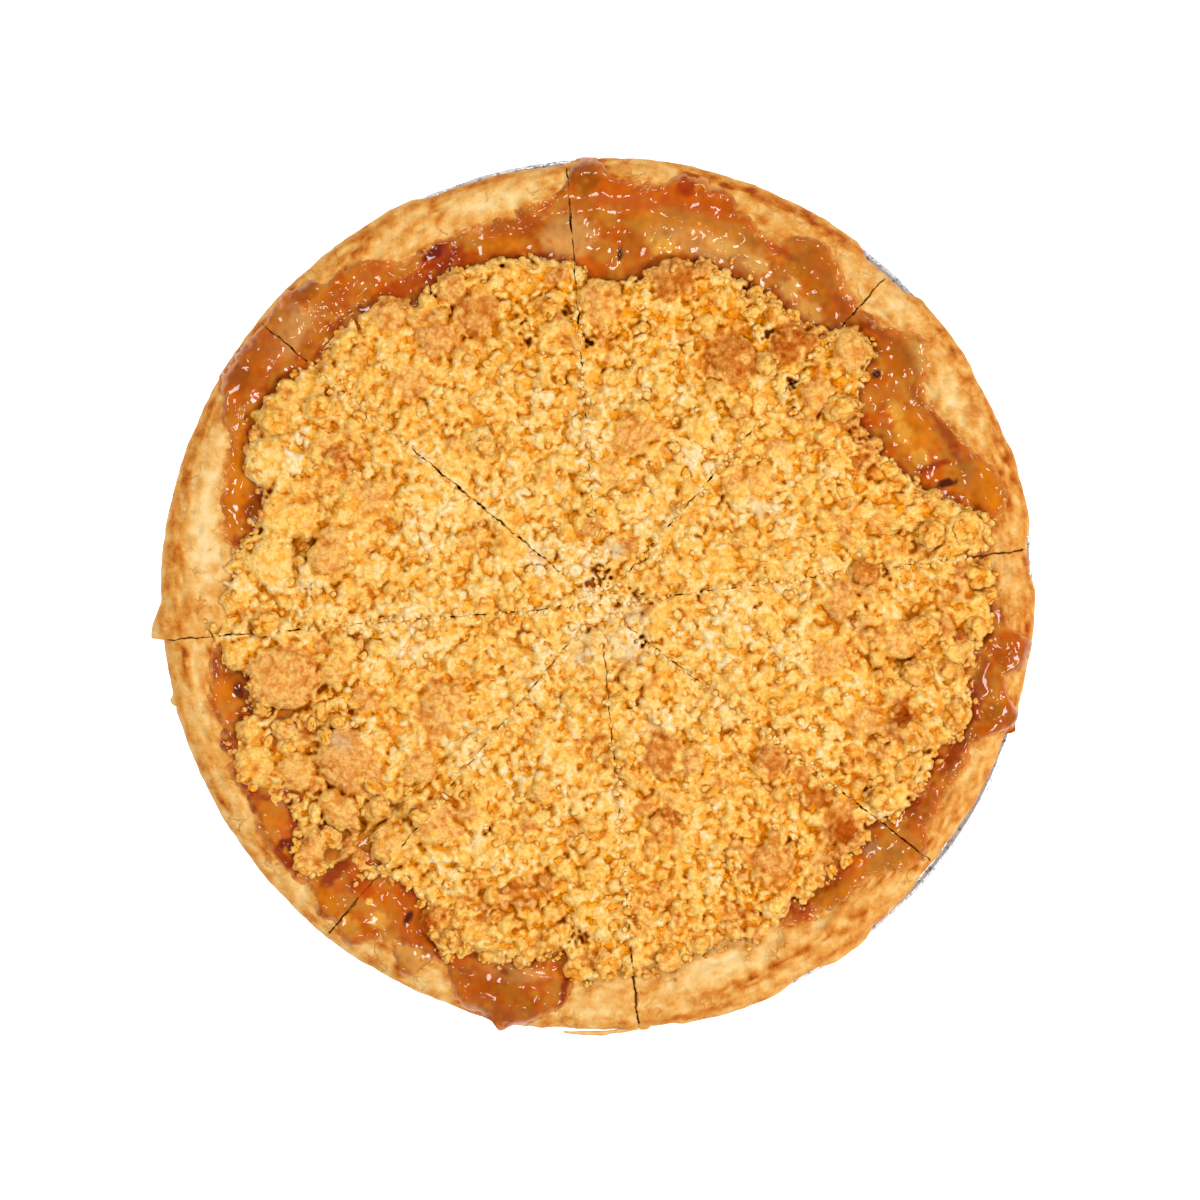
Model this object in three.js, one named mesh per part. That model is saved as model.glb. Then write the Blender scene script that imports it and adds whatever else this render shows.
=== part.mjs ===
// A crumb-topped apple pie in its foil tin, already cut into eight slices that still stand together.
// Millimetres, +Z up. The origin is the centre of the tin's flat floor, on the surface it stands on.
import * as THREE from "three";
import { mergeVertices } from "three/addons/utils/BufferGeometryUtils.js";

// ---- Driving dimensions ----------------------------------------------------------------------------
const TIN_RIM_R = 123; // outside of the rolled rim
const TIN_FLOOR_R = 99; // outside of the flat floor
const TIN_WALL_TOP_R = 113; // where the sloping wall meets the flange
const TIN_FLANGE_Z = 33; // top face of the flange
const FOIL = 0.5; // thickness of the foil wall
const BEAD_R = 1; // radius of the rolled edge's section
const FLUTE_DEPTH = 0.4; // half the depth of the pressed pleats in the wall
const TIN_SEGMENTS = 96; // two to a pleat

const GAP = 0.3; // clearance between touching pieces
const CRUST_T = 4; // thickness of the pastry
const CREST_R = 115; // radius of the top of the pastry's rim
const CREST_Z = 41; // height of the top of the pastry's rim
const RIM_EDGE_R = 121.2; // outer edge of the pastry's rim
const FILLING_Z = 36.4; // level of the filling under the crumbs
const CRUMB_EDGE_R = 106; // mean radius where the crumbs stop
const CRUMB_TOP_Z = 44.2; // mean height of the crumb topping
const CRUMB_RELIEF = 1.9; // how far the clumps rise and fall

const CUT_CENTRE = new THREE.Vector2(0.3, -2.9); // where the cuts meet, a little off the pie's centre
const CUT_ANGLES = [6, 48, 94.3, 141.2, 186, 231.5, 275.2, 321.3]; // degrees, where a cut meets the rim
const CUT_WIDTH = 0.6; // the knife's gap between slices

const COLOURS = { foil: 0xc9cbce, pastry: 0xdca35c, filling: 0xb4682a, crumbs: 0xeebb6a };

// ---- Uneven food -----------------------------------------------------------------------------------
const radians = THREE.MathUtils.degToRad;

// A smooth wave round the pie, between about -1 and 1, that repeats after a full turn.
function ripple(angle, seed) {
  const lobes = [3, 7, 12, 19];
  const weights = [0.4, 0.3, 0.2, 0.1];
  return lobes.reduce((sum, n, i) => sum + weights[i] * Math.sin(n * angle + seed * (i + 1.7)), 0);
}

// The height of the crumb clumps over a point of the topping, between about -1 and 1.
function clumps(x, y) {
  const broad = Math.sin(x / 9 + 1.3) * Math.cos(y / 11 - 0.4);
  const middle = Math.sin((x + y) / 5.3 + 2.1) * Math.sin((x - y) / 6.1);
  return 0.45 * broad + 0.55 * middle;
}

// ---- The sector loft -------------------------------------------------------------------------------
// Rim angles from one cut to the next, in equal steps.
function anglesBetween(from, to, steps) {
  return Array.from({ length: steps + 1 }, (_, j) => radians(from + ((to - from) * j) / steps));
}

// The place of a profile point: round at the rim, and drawn in to where the cuts cross.
function onPie(r, z, angle) {
  const drawnIn = 1 - r / TIN_RIM_R;
  return new THREE.Vector3(
    CUT_CENTRE.x * drawnIn + r * Math.cos(angle),
    CUT_CENTRE.y * drawnIn + r * Math.sin(angle),
    z,
  );
}

// One closed wedge. profileAt(angle) is its section from the bottom of the apex, out, up and back to the
// top of the apex, as [radius, height] pairs, the same number at each angle.
function wedge(angles, profileAt) {
  const sections = angles.map(profileAt);
  const points = sections[0].length;
  const corners = sections.flatMap((section, j) => section.map(([r, z]) => onPie(r, z, angles[j])));
  const triangles = [];
  const last = angles.length - 1;
  for (let j = 0; j < last; j++)
    for (let i = 0; i < points - 1; i++) {
      const a = j * points + i;
      const b = a + points;
      if (i > 0) triangles.push([a, b, b + 1]);
      if (i === 0) triangles.push([a, b + 1, a + 1]);
      else if (i < points - 2) triangles.push([a, b + 1, a + 1]);
    }
  for (const j of [0, last]) {
    const outline = sections[j].map(([r, z]) => new THREE.Vector2(r, z));
    for (const face of THREE.ShapeUtils.triangulateShape(outline, [])) {
      const [p, q, s] = face.map((i) => j * points + i);
      triangles.push(j === 0 ? [p, q, s] : [p, s, q]);
    }
  }
  const geometry = new THREE.BufferGeometry().setFromPoints(corners);
  geometry.setIndex(triangles.flat());
  const merged = mergeVertices(geometry);
  merged.computeVertexNormals();
  return merged;
}

// ---- Foil tin --------------------------------------------------------------------------------------
// Radius of the wall's inner face at a height.
function tinInside(z) {
  const up = (z - FOIL) / (TIN_FLANGE_Z - FOIL);
  return THREE.MathUtils.lerp(TIN_FLOOR_R - FOIL, TIN_WALL_TOP_R - FOIL, up);
}

function makeTin() {
  const beadR = TIN_RIM_R - BEAD_R;
  const beadZ = TIN_FLANGE_Z - FOIL / 2;
  const bead = [-120, -60, 0, 60, 120].map(radians).map((turn) => {
    return new THREE.Vector2(beadR + BEAD_R * Math.cos(turn), beadZ + BEAD_R * Math.sin(turn));
  });
  const profile = [
    new THREE.Vector2(0, 0),
    new THREE.Vector2(TIN_FLOOR_R - 1, 0),
    new THREE.Vector2(TIN_FLOOR_R, 1),
    new THREE.Vector2(TIN_WALL_TOP_R, TIN_FLANGE_Z - FOIL),
    new THREE.Vector2(beadR - BEAD_R, TIN_FLANGE_Z - FOIL),
    ...bead,
    new THREE.Vector2(beadR - BEAD_R, TIN_FLANGE_Z),
    new THREE.Vector2(TIN_WALL_TOP_R - FOIL, TIN_FLANGE_Z),
    new THREE.Vector2(TIN_FLOOR_R - FOIL, 1 + FOIL),
    new THREE.Vector2(TIN_FLOOR_R - 1.2, FOIL),
    new THREE.Vector2(0, FOIL),
  ];
  const geometry = new THREE.LatheGeometry(profile, TIN_SEGMENTS).rotateX(Math.PI / 2);
  const position = geometry.getAttribute("position");
  const ringSize = profile.length;
  for (let i = 0; i < position.count; i++) {
    const z = position.getZ(i);
    const r = Math.hypot(position.getX(i), position.getY(i));
    const onWall = r >= TIN_FLOOR_R - FOIL && r <= TIN_WALL_TOP_R && z > 0;
    if (!onWall) continue;
    const pleat = Math.floor(i / ringSize) % 2 ? FLUTE_DEPTH : -FLUTE_DEPTH;
    const pushed = (r + pleat) / r;
    position.setXY(i, position.getX(i) * pushed, position.getY(i) * pushed);
  }
  return geometry;
}

// ---- Pastry ----------------------------------------------------------------------------------------
const CRUST_FLOOR_Z = FOIL + GAP;
const CRUST_CLEAR = 2.2; // from the tin's sloping wall: its pleats, and the slices' move outward

function crustOutside(z) {
  return tinInside(z) - CRUST_CLEAR;
}

function crustInside(z) {
  return crustOutside(z) - CRUST_T;
}

function crustSection(angle) {
  const crestZ = CREST_Z + 0.9 * ripple(angle, 2);
  const crestR = CREST_R + 0.8 * ripple(angle, 5);
  const edgeR = RIM_EDGE_R + 0.6 * ripple(angle, 9);
  const overBeadZ = TIN_FLANGE_Z + BEAD_R + GAP;
  return [
    [0, CRUST_FLOOR_Z],
    [crustOutside(2) - 2, CRUST_FLOOR_Z],
    [crustOutside(3), 3],
    [crustOutside(TIN_FLANGE_Z), TIN_FLANGE_Z + GAP],
    [TIN_RIM_R - 2 * BEAD_R - 2, TIN_FLANGE_Z + GAP],
    [edgeR - 0.8, overBeadZ],
    [edgeR, overBeadZ + 1.4],
    [edgeR - 1.2, crestZ - 2.2],
    [crestR + 2.6, crestZ - 0.5],
    [crestR, crestZ],
    [crestR - 3.2, crestZ - 1.2],
    [crustInside(TIN_FLANGE_Z) + 1, TIN_FLANGE_Z + 3.6],
    [crustInside(TIN_FLANGE_Z), TIN_FLANGE_Z],
    [crustInside(7), 7],
    [crustInside(4) - 4, CRUST_FLOOR_Z + CRUST_T],
    [0, CRUST_FLOOR_Z + CRUST_T],
  ];
}

// ---- Apple filling ---------------------------------------------------------------------------------
function fillingSection(angle) {
  const sideR = (z) => crustInside(z) - GAP;
  const ringZ = FILLING_Z + 0.3 * ripple(angle, 4);
  return [
    [0, CRUST_FLOOR_Z + CRUST_T + GAP],
    [sideR(4) - 4.4, CRUST_FLOOR_Z + CRUST_T + GAP],
    [sideR(7), 7 + GAP],
    [sideR(TIN_FLANGE_Z), TIN_FLANGE_Z],
    [sideR(TIN_FLANGE_Z) + 0.6, ringZ],
    [CRUMB_EDGE_R - 6, FILLING_Z - 0.4],
    [0, FILLING_Z - 0.4],
  ];
}

// ---- Crumb topping ---------------------------------------------------------------------------------
const TOPPING_RINGS = 15;

function toppingSection(angle) {
  const edgeR = CRUMB_EDGE_R + 3 * ripple(angle, 7);
  const top = Array.from({ length: TOPPING_RINGS }, (_, i) => {
    const r = (edgeR - 1.5) * (1 - i / TOPPING_RINGS);
    const at = onPie(r, 0, angle);
    const sunkMiddle = 1.6 * Math.exp(-((r / 9) ** 2));
    const rounded = 2.2 * Math.exp(-((edgeR - 1.5 - r) / 2.5));
    return [r, CRUMB_TOP_Z + CRUMB_RELIEF * clumps(at.x, at.y) - sunkMiddle - rounded];
  });
  return [
    [0, FILLING_Z + GAP],
    [edgeR - 3, FILLING_Z + 2 * GAP],
    [edgeR, FILLING_Z + 3],
    ...top,
    [0, CRUMB_TOP_Z - CRUMB_RELIEF],
  ];
}

// ---- Assembly --------------------------------------------------------------------------------------
const finish = (colour, roughness, metalness = 0) =>
  new THREE.MeshStandardMaterial({ color: colour, roughness, metalness });
const MATERIALS = {
  foil: finish(COLOURS.foil, 0.3, 1),
  pastry: finish(COLOURS.pastry, 0.75),
  filling: finish(COLOURS.filling, 0.2),
  crumbs: finish(COLOURS.crumbs, 0.9),
};

function namedMesh(name, geometry, material) {
  const mesh = new THREE.Mesh(geometry, material);
  mesh.name = name;
  return mesh;
}

// One slice, moved out along its middle by what the knife's gap needs on both its sides.
function makeSlice(number, from, to) {
  const slice = new THREE.Group();
  const middle = radians((from + to) / 2);
  const moved = CUT_WIDTH / 2 / Math.sin(radians((to - from) / 2));
  slice.position.set(moved * Math.cos(middle), moved * Math.sin(middle), 0);
  slice.add(
    namedMesh(`crust_${number}`, wedge(anglesBetween(from, to, 9), crustSection), MATERIALS.pastry),
    namedMesh(`filling_${number}`, wedge(anglesBetween(from, to, 9), fillingSection), MATERIALS.filling),
    namedMesh(`topping_${number}`, wedge(anglesBetween(from, to, 13), toppingSection), MATERIALS.crumbs),
  );
  return slice;
}

const pie = new THREE.Group();
pie.add(namedMesh("tin", makeTin(), MATERIALS.foil));
CUT_ANGLES.forEach((from, i) => {
  const next = CUT_ANGLES[(i + 1) % CUT_ANGLES.length];
  pie.add(makeSlice(i + 1, from, next > from ? next : next + 360));
});

export default pie;
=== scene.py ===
import math

import bmesh
import bpy
import numpy as np
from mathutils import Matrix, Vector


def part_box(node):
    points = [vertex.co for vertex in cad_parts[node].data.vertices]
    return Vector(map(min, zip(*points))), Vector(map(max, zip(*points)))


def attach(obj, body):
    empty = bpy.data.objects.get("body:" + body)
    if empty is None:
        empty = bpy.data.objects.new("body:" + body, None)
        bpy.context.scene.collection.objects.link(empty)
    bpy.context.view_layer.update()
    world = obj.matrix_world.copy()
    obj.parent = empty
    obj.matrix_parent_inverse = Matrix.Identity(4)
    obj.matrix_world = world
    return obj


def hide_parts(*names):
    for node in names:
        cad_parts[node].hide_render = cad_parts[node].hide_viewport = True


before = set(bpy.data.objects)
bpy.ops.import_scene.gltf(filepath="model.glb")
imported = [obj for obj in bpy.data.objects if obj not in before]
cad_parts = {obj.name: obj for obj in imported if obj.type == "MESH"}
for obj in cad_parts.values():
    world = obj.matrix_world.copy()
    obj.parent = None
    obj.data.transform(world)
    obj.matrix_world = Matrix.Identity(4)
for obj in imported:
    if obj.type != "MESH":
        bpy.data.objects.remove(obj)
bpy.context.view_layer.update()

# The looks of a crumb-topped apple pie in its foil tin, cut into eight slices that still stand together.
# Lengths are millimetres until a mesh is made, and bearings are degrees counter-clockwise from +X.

MM = 0.001
SEED = 20
LIGHT = 1.65  # how much more light falls on the pie than on a page that shows its paints as they are

# ---- Sizes, from the frame where it has them -------------------------------------------------------
RIM_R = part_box("tin")[1].x / MM  # outside of the tin's rolled rim
BEAD_R = 1.0  # radius of the rolled rim's section
FLANGE_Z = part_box("tin")[1].z / MM - 0.6
FLOOR_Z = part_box("filling_1")[0].z / MM
CRUMB_FLOOR_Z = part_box("topping_1")[0].z / MM
CREST_Z = 41.0  # top of the pastry's rim
CREST_R = 114.8  # where that top is
EDGE_Z = 35.9  # where the rim's rounded top ends at its outer edge
SUNK_Z = 31.0  # how deep the rim's inner slope goes under the syrup
LEVEL_Z = 38.2  # where syrup, crumbs and pastry meet inside the rim
CRUMB_Z = 43.6  # mean height of the topping, away from its edge
CRUMB_R = 111.0  # about how far the topping reaches
SYRUP_LEAST_R = 105.0  # the filling's top goes out at least this far, under the pastry if need be
FILLING_SIDE_R = 104.6  # where its side starts below that
HEAP_FALL = 2.0  # how much lower the topping lies towards its edge
DIP_DEPTH = 2.4  # the dip where the cuts meet
DIP_R = 9.5
SLICES = 8

# ---- The photo's own measure -----------------------------------------------------------------------
PHOTO_SIDE = 1200
PIE_PX = (599.0, 594.6)  # the pie's centre
RIM_PX = 437.5  # the rolled rim's radius
MM_PER_PX = RIM_R / RIM_PX


def from_photo(px, py):
    """A pixel of the photo as x and y on the pie, in millimetres."""
    return (px - PIE_PX[0]) * MM_PER_PX, (PIE_PX[1] - py) * MM_PER_PX


def linear(red, green, blue):
    """A paint's linear values, from its sRGB ones of 0 to 255 as it looks in the studio's light."""
    channels = [c / 255 for c in (red, green, blue)]
    return [(c / 12.92 if c <= 0.04045 else ((c + 0.055) / 1.055) ** 2.4) / LIGHT for c in channels] + [1.0]


# Each cut: the bearing where it meets the rim, and its half width in mm at distances in px from the middle.
CUT_CENTRE = from_photo(600, 605)
CUTS = [
    (6.0, [(30, 0.1), (60, 0.12), (190, 0.1), (260, 0.02), (370, 0.05), (392, 0.32), (412, 0.34),
           (422, 0.5), (438, 0.3)]),
    (48.0, [(30, 0.1), (65, 0.12), (173, 0.1), (200, 0.02), (350, 0.03), (367, 0.22), (410, 0.32),
            (438, 0.1)]),
    (94.3, [(30, 0.05), (248, 0.04), (254, 0.35), (260, 0.04), (285, 0.04), (292, 0.3), (312, 0.3),
            (320, 0.12), (345, 0.18), (436, 0.26)]),
    (141.2, [(40, 0.05), (67, 0.3), (120, 0.34), (200, 0.3), (235, 0.03), (335, 0.04), (350, 0.18),
             (438, 0.2)]),
    (186.0, [(36, 0.08), (118, 0.12), (211, 0.12), (230, 0.03), (300, 0.05), (318, 0.26), (436, 0.28)]),
    (231.5, [(40, 0.05), (70, 0.12), (200, 0.12), (285, 0.03), (300, 0.3), (333, 0.3), (345, 0.04),
             (400, 0.05), (408, 0.36), (430, 0.38), (438, 0.2)]),
    (275.2, [(30, 0.05), (50, 0.18), (135, 0.16), (190, 0.05), (345, 0.05), (366, 0.4), (385, 0.62),
             (415, 0.62), (424, 0.36), (438, 0.34)]),
    (321.3, [(36, 0.3), (50, 0.05), (78, 0.15), (110, 0.15), (140, 0.02), (300, 0.03), (325, 0.28),
             (417, 0.26), (438, 0.2)]),
]

# Where the crumbs end and where the syrup ends on the pastry, as bearing: px from the middle.
CRUMB_EDGE = {
    0: 393, 3: 396, 5: 390, 6: 378, 7: 394, 9: 400, 11: 400, 12: 394, 13: 380, 14: 366, 16: 360, 17: 350,
    18: 338, 20: 332, 22: 326, 27: 318, 33: 310, 35: 314, 37: 320, 38: 330, 40: 348, 41: 362, 43: 373,
    45: 371, 46: 364, 48: 352, 50: 345, 52: 340, 56: 340, 60: 345, 65: 344, 70: 346, 74: 347, 76: 340,
    78: 334, 81: 325, 85: 314, 88: 308, 90: 306, 92: 318, 94: 330, 97: 337, 100: 341, 104: 345, 108: 348,
    112: 352, 114: 357, 118: 352, 122: 342, 124: 350, 126: 360, 129: 364, 131: 367, 133: 371, 136: 376,
    138: 364, 140: 370, 143: 372, 145: 377, 148: 385, 151: 388, 154: 384, 157: 378, 159: 372, 161: 364,
    163: 351, 165: 345, 167: 346, 170: 352, 172: 364, 175: 368, 178: 372, 181: 370, 183: 380, 186: 390,
    188: 384, 190: 376, 192: 366, 196: 362, 198: 372, 200: 380, 201: 391, 203: 400, 205: 403, 208: 402,
    210: 397, 211: 384, 213: 369, 215: 372, 217: 380, 219: 391, 220: 401, 223: 404, 225: 398, 226: 372,
    227: 348, 228: 348, 229: 362, 231: 367, 232: 352, 235: 345, 238: 347, 240: 355, 242: 364, 244: 380,
    246: 396, 248: 397, 249: 386, 251: 376, 254: 380, 257: 378, 260: 370, 262: 364, 264: 356, 266: 372,
    267: 391, 269: 392, 271: 385, 275: 381, 279: 384, 282: 379, 284: 373, 287: 366, 290: 370, 293: 380,
    295: 386, 297: 379, 299: 370, 301: 362, 304: 370, 307: 364, 311: 362, 314: 365, 317: 360, 320: 354,
    322: 362, 325: 377, 328: 374, 334: 372, 336: 376, 338: 385, 341: 392, 344: 389, 346: 380, 349: 378,
    353: 383, 356: 395,
}
SYRUP_EDGE = {
    0: 398, 6: 390, 9: 396, 11: 410, 12: 418, 14: 421, 16: 420, 18: 414, 20: 405, 22: 397, 25: 391,
    28: 386, 31: 381, 33: 385, 34: 396, 36: 410, 38: 413, 40: 408, 41: 401, 43: 392, 46: 389, 50: 388,
    52: 396, 54: 410, 56: 415, 59: 416, 61: 411, 62: 403, 64: 393, 66: 397, 68: 404, 70: 411, 72: 420,
    75: 427, 77: 431, 79: 428, 80: 419, 83: 415, 86: 415, 88: 421, 90: 434, 92: 437, 93: 435, 94: 428,
    95: 408, 97: 399, 100: 396, 104: 390, 110: 388, 113: 390, 117: 389, 121: 388, 123: 399, 125: 408,
    127: 414, 129: 414, 131: 413, 132: 420, 134: 432, 137: 435, 140: 432, 144: 432, 147: 436, 150: 437,
    152: 428, 153: 424, 155: 414, 157: 402, 160: 396, 163: 392, 166: 388, 169: 385, 171: 382, 172: 374,
    173: 360, 186: 360, 187: 391, 190: 391, 192: 399, 194: 405, 196: 405, 198: 400, 200: 402, 203: 406,
    206: 410, 209: 410, 211: 405, 213: 410, 215: 415, 217: 418, 219: 419, 222: 416, 224: 415, 225: 410,
    227: 417, 229: 427, 230: 424, 232: 425, 233: 430, 234: 432, 236: 418, 238: 412, 239: 407, 240: 412,
    241: 419, 242: 430, 243: 432, 244: 424, 245: 407, 246: 398, 248: 402, 249: 412, 250: 424, 251: 432,
    253: 436, 255: 440, 257: 449, 259: 443, 260: 440, 261: 432, 263: 424, 265: 415, 266: 398, 267: 370,
    268: 352, 298: 352, 299: 378, 301: 386, 303: 387, 306: 386, 307: 391, 309: 392, 312: 389, 314: 391,
    316: 400, 318: 412, 320: 420, 322: 419, 323: 409, 325: 404, 327: 405, 330: 401, 332: 399, 334: 403,
    338: 404, 340: 410, 341: 428, 342: 440, 344: 438, 345: 433, 346: 424, 348: 416, 350: 424, 351: 433,
    352: 438, 354: 435, 355: 422, 356: 411, 358: 403,
}
ROUNDED_OFF = 0.6  # degrees over which the two outlines are smoothed

# Bearings where the pastry stops short and the tin shows: from, to, how far short in mm.
TIN_SHOWS = [(2, 8, 1.6), (21, 30, 0.9), (44, 52, 2.4), (94, 114, 1.5), (264, 280, 0.9), (296, 301, 1.4),
             (309, 342, 2.1), (318, 329, 0.9), (344, 353, 0.9)]

# Where the pastry juts out over the rim: from, fully out at, to, and by how much in mm.
FLAPS = [(180.4, 184.6, 186.0, 3.2), (193.3, 194.0, 194.9, 1.1), (272.4, 273.6, 275.2, 1.0),
         (275.2, 275.6, 277.0, 0.9)]

# ---- Rasters over the whole pie --------------------------------------------------------------------
CELL = 0.2
HALF = 128.0  # from the middle to the raster's side
SIDE = int(2 * HALF / CELL)
axis = (np.arange(SIDE) + 0.5) * CELL - HALF
X, Y = np.meshgrid(axis, axis)
RADIUS = np.hypot(X, Y)
BEARING = np.degrees(np.arctan2(Y, X)) % 360
frequency = np.hypot(np.fft.rfftfreq(SIDE, CELL)[None, :], np.fft.fftfreq(SIDE, CELL)[:, None])


def banded_noise(waves, breadth, shape, seed):
    """Smooth noise of mean 0 and deviation 1, made of the frequencies for which waves is about 1."""
    white = np.fft.rfft2(np.random.default_rng(SEED + seed).standard_normal(shape))
    field = np.fft.irfft2(white * np.exp(-0.5 * ((waves - 1) / breadth) ** 2), s=shape)
    return field / field.std()


def noise(wavelength, seed):
    """Noise over the pie whose waves are about so many millimetres long."""
    return banded_noise(frequency * wavelength, 0.45, (SIDE, SIDE), seed)


def blur(field, sigma):
    bell = np.exp(-2 * (math.pi * sigma * frequency) ** 2)
    return np.fft.irfft2(np.fft.rfft2(field) * bell, s=field.shape)


def between_cells(field, u, v):
    """The field at any column u and row v, going on from its last column to its first."""
    columns = field.shape[1]
    i, j = u.astype(int), v.astype(int)
    a, b = u - i, v - j
    i, following = i % columns, (i + 1) % columns
    low = field[j, i] * (1 - a) + field[j, following] * a
    high = field[j + 1, i] * (1 - a) + field[j + 1, following] * a
    return low * (1 - b) + high * b


def sample(field, x, y):
    """A field over the pie at any points."""
    u, v = (np.clip((np.asarray(place) + HALF) / CELL - 0.5, 0, SIDE - 2) for place in (x, y))
    return between_cells(field, u, v)


def smooth(low, high, value):
    """0 to 1 as the value goes from low to high, without a corner at either end."""
    t = np.clip((value - low) / (high - low), 0, 1)
    return t * t * (3 - 2 * t)


def around(table, bearing):
    """A table of bearing: px, read between its entries and rounded off, as millimetres from the middle."""
    fine = np.arange(0, 360, 0.25)
    bearings = sorted(table)
    values = np.interp(fine, bearings, [table[b] * MM_PER_PX for b in bearings], period=360)
    spread = np.minimum(fine, 360 - fine)
    bell = np.exp(-0.5 * (spread / ROUNDED_OFF) ** 2)
    rounded = np.fft.irfft(np.fft.rfft(values) * np.fft.rfft(bell / bell.sum()), n=len(fine))
    return np.interp(bearing, fine, rounded, period=360)


def hill(px, py, radius_px):
    """A soft round patch, 1 in its middle, placed by the photo's pixels."""
    x, y = from_photo(px, py)
    return np.exp(-((X - x) ** 2 + (Y - y) ** 2) / (radius_px * MM_PER_PX) ** 2)


def hills(places):
    """Soft round patches added up: px, py, radius in px and amount of each."""
    return sum(amount * hill(px, py, radius) for px, py, radius, amount in places)


def ring_spot(radius, bearing, at, px, along, across):
    """A soft patch on the ring, 1 in its middle: its bearing, px from the middle, half lengths in px."""
    turn = np.radians((bearing - at + 180) % 360 - 180)
    return np.exp(-((turn * px / along) ** 2) - ((radius / MM_PER_PX - px) / across) ** 2)


wobble = noise(9, 1)
fine_wobble = noise(3.2, 2)
crumb_edge = around(CRUMB_EDGE, BEARING) + 0.6 * wobble + 0.8 * fine_wobble
syrup_edge = around(SYRUP_EDGE, BEARING) + 0.5 * wobble + 0.3 * fine_wobble + 0.1 * noise(1.6, 7)
CUT_BEARINGS = [bearing for bearing, _ in CUTS]
FAR = 99.0  # more than any distance from a cut that matters


def cut_distance(x, y, bearing):
    """Distance to a cut's line on either side of it, and FAR in the other half of the pie."""
    turn = math.radians(bearing)
    ahead = x * math.cos(turn) + y * math.sin(turn) > 0
    ex, ey = RIM_R * math.cos(turn) - CUT_CENTRE[0], RIM_R * math.sin(turn) - CUT_CENTRE[1]
    aside = (ex * (y - CUT_CENTRE[1]) - ey * (x - CUT_CENTRE[0])) / math.hypot(ex, ey)
    return np.where(ahead, np.abs(aside), FAR)


near_cut = np.minimum.reduce([cut_distance(X, Y, bearing) for bearing in CUT_BEARINGS])

# ---- Pastry rim ------------------------------------------------------------------------------------
STRIP_FROM_R = 96.0  # the strip of noise round the rim
STRIP_WIDTH = 30.0
STRIP_MIDDLE_R = 116
STRIP_SHAPE = (150, 3650)  # cells across the strip and along it


def ripple(bearing, seed, lobes=(3, 7, 12, 19, 31)):
    """A wavy value of about -1 to 1 round the pie. lobes lists how many of each wave go round it."""
    turn = np.radians(bearing)
    phases = np.random.default_rng(SEED + seed).uniform(0, 2 * math.pi, len(lobes))
    return sum(np.sin(n * turn + p) / (1 + 0.35 * i) for i, (n, p) in enumerate(zip(lobes, phases))) / 2.2


def pastry_edge(bearing):
    """Radius of the pastry's outer edge: just over the tin's rim, and short of it where the tin shows."""
    bearing = bearing % 360
    edge = RIM_R + 0.35 + 0.32 * ripple(bearing, 30)
    edge += 0.16 * ripple(bearing, 33, (43, 71, 97, 131, 173, 211))
    for start, stop, short in TIN_SHOWS:
        inside = smooth(start - 2, start + 1, bearing) * (1 - smooth(stop - 1, stop + 2, bearing))
        edge = edge - short * inside
    for start, full, stop, out in FLAPS:
        edge = edge + out * smooth(start, full, bearing) * (1 - smooth(stop - 0.4, stop, bearing))
    return edge


def meeting(bearing):
    """Radius where the pastry's inner slope comes up out of the syrup or the crumbs."""
    return np.clip(np.maximum(around(CRUMB_EDGE, bearing), around(SYRUP_EDGE, bearing)) - 4, 99, 109)


def strip_noise(across, along, seed):
    """Noise on the strip round the rim, its waves of about so many millimetres across it and along it."""
    rows, columns = STRIP_SHAPE
    fy = np.fft.fftfreq(rows, STRIP_WIDTH / rows)[:, None] * across
    fx = np.fft.rfftfreq(columns, 2 * math.pi * STRIP_MIDDLE_R / columns)[None, :] * along
    return banded_noise(np.hypot(fx, fy), 0.5, STRIP_SHAPE, seed)


flakes = strip_noise(2.4, 6, 40)
fine_flakes = strip_noise(0.9, 1.6, 41)
blisters = strip_noise(5.5, 8, 42)


def on_strip(field, radius, bearing):
    """The strip's noise at any radius and bearing."""
    rows, columns = STRIP_SHAPE
    v = np.clip((radius - STRIP_FROM_R) / STRIP_WIDTH * rows, 0, rows - 2)
    return between_cells(field, (bearing % 360) / 360 * columns, v)


def crest_radius(bearing):
    return CREST_R + 0.7 * ripple(bearing, 32)


def pastry_height(radius, bearing):
    """Top of the pastry, from its inner slope over the crest to its outer edge."""
    crest_z = CREST_Z + 0.55 * ripple(bearing, 31)
    crest_r = crest_radius(bearing)
    meet = meeting(bearing)
    rise = np.clip((radius - meet) / (crest_r - meet), 0, 1)
    inner = LEVEL_Z + (crest_z - LEVEL_Z) * np.sin(rise * math.pi / 2) ** 0.9
    inner = np.where(radius < meet, np.maximum(LEVEL_Z - 1.1 * (meet - radius), SUNK_Z), inner)
    out = np.clip((radius - crest_r) / (pastry_edge(bearing) - crest_r), 0, 1)
    outer = EDGE_Z + (crest_z - EDGE_Z) * (1 - out ** 2.2) ** 0.6
    relief = 0.13 * on_strip(flakes, radius, bearing) + 0.05 * on_strip(fine_flakes, radius, bearing)
    relief = relief + 0.3 * on_strip(blisters, radius, bearing)
    fade = smooth(0.0, 0.5, 1 - out)
    return np.where(radius < crest_r, inner, outer) + relief * fade


pastry_z = pastry_height(RADIUS, BEARING)

# ---- Heaps of grains -------------------------------------------------------------------------------
WX = X + 0.12 * noise(2.4, 3) + 0.32 * noise(6, 4)
WY = Y + 0.12 * noise(2.4, 5) + 0.32 * noise(6, 6)
MOST_RISE = 3.4  # mm from a large grain's widest part to its top
CLUMP_TOAST = 0.07  # how much browner a clump has baked than its listed tone
CLUMP_SUNK = 0.3  # mm that each clump has settled since its top was listed


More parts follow.
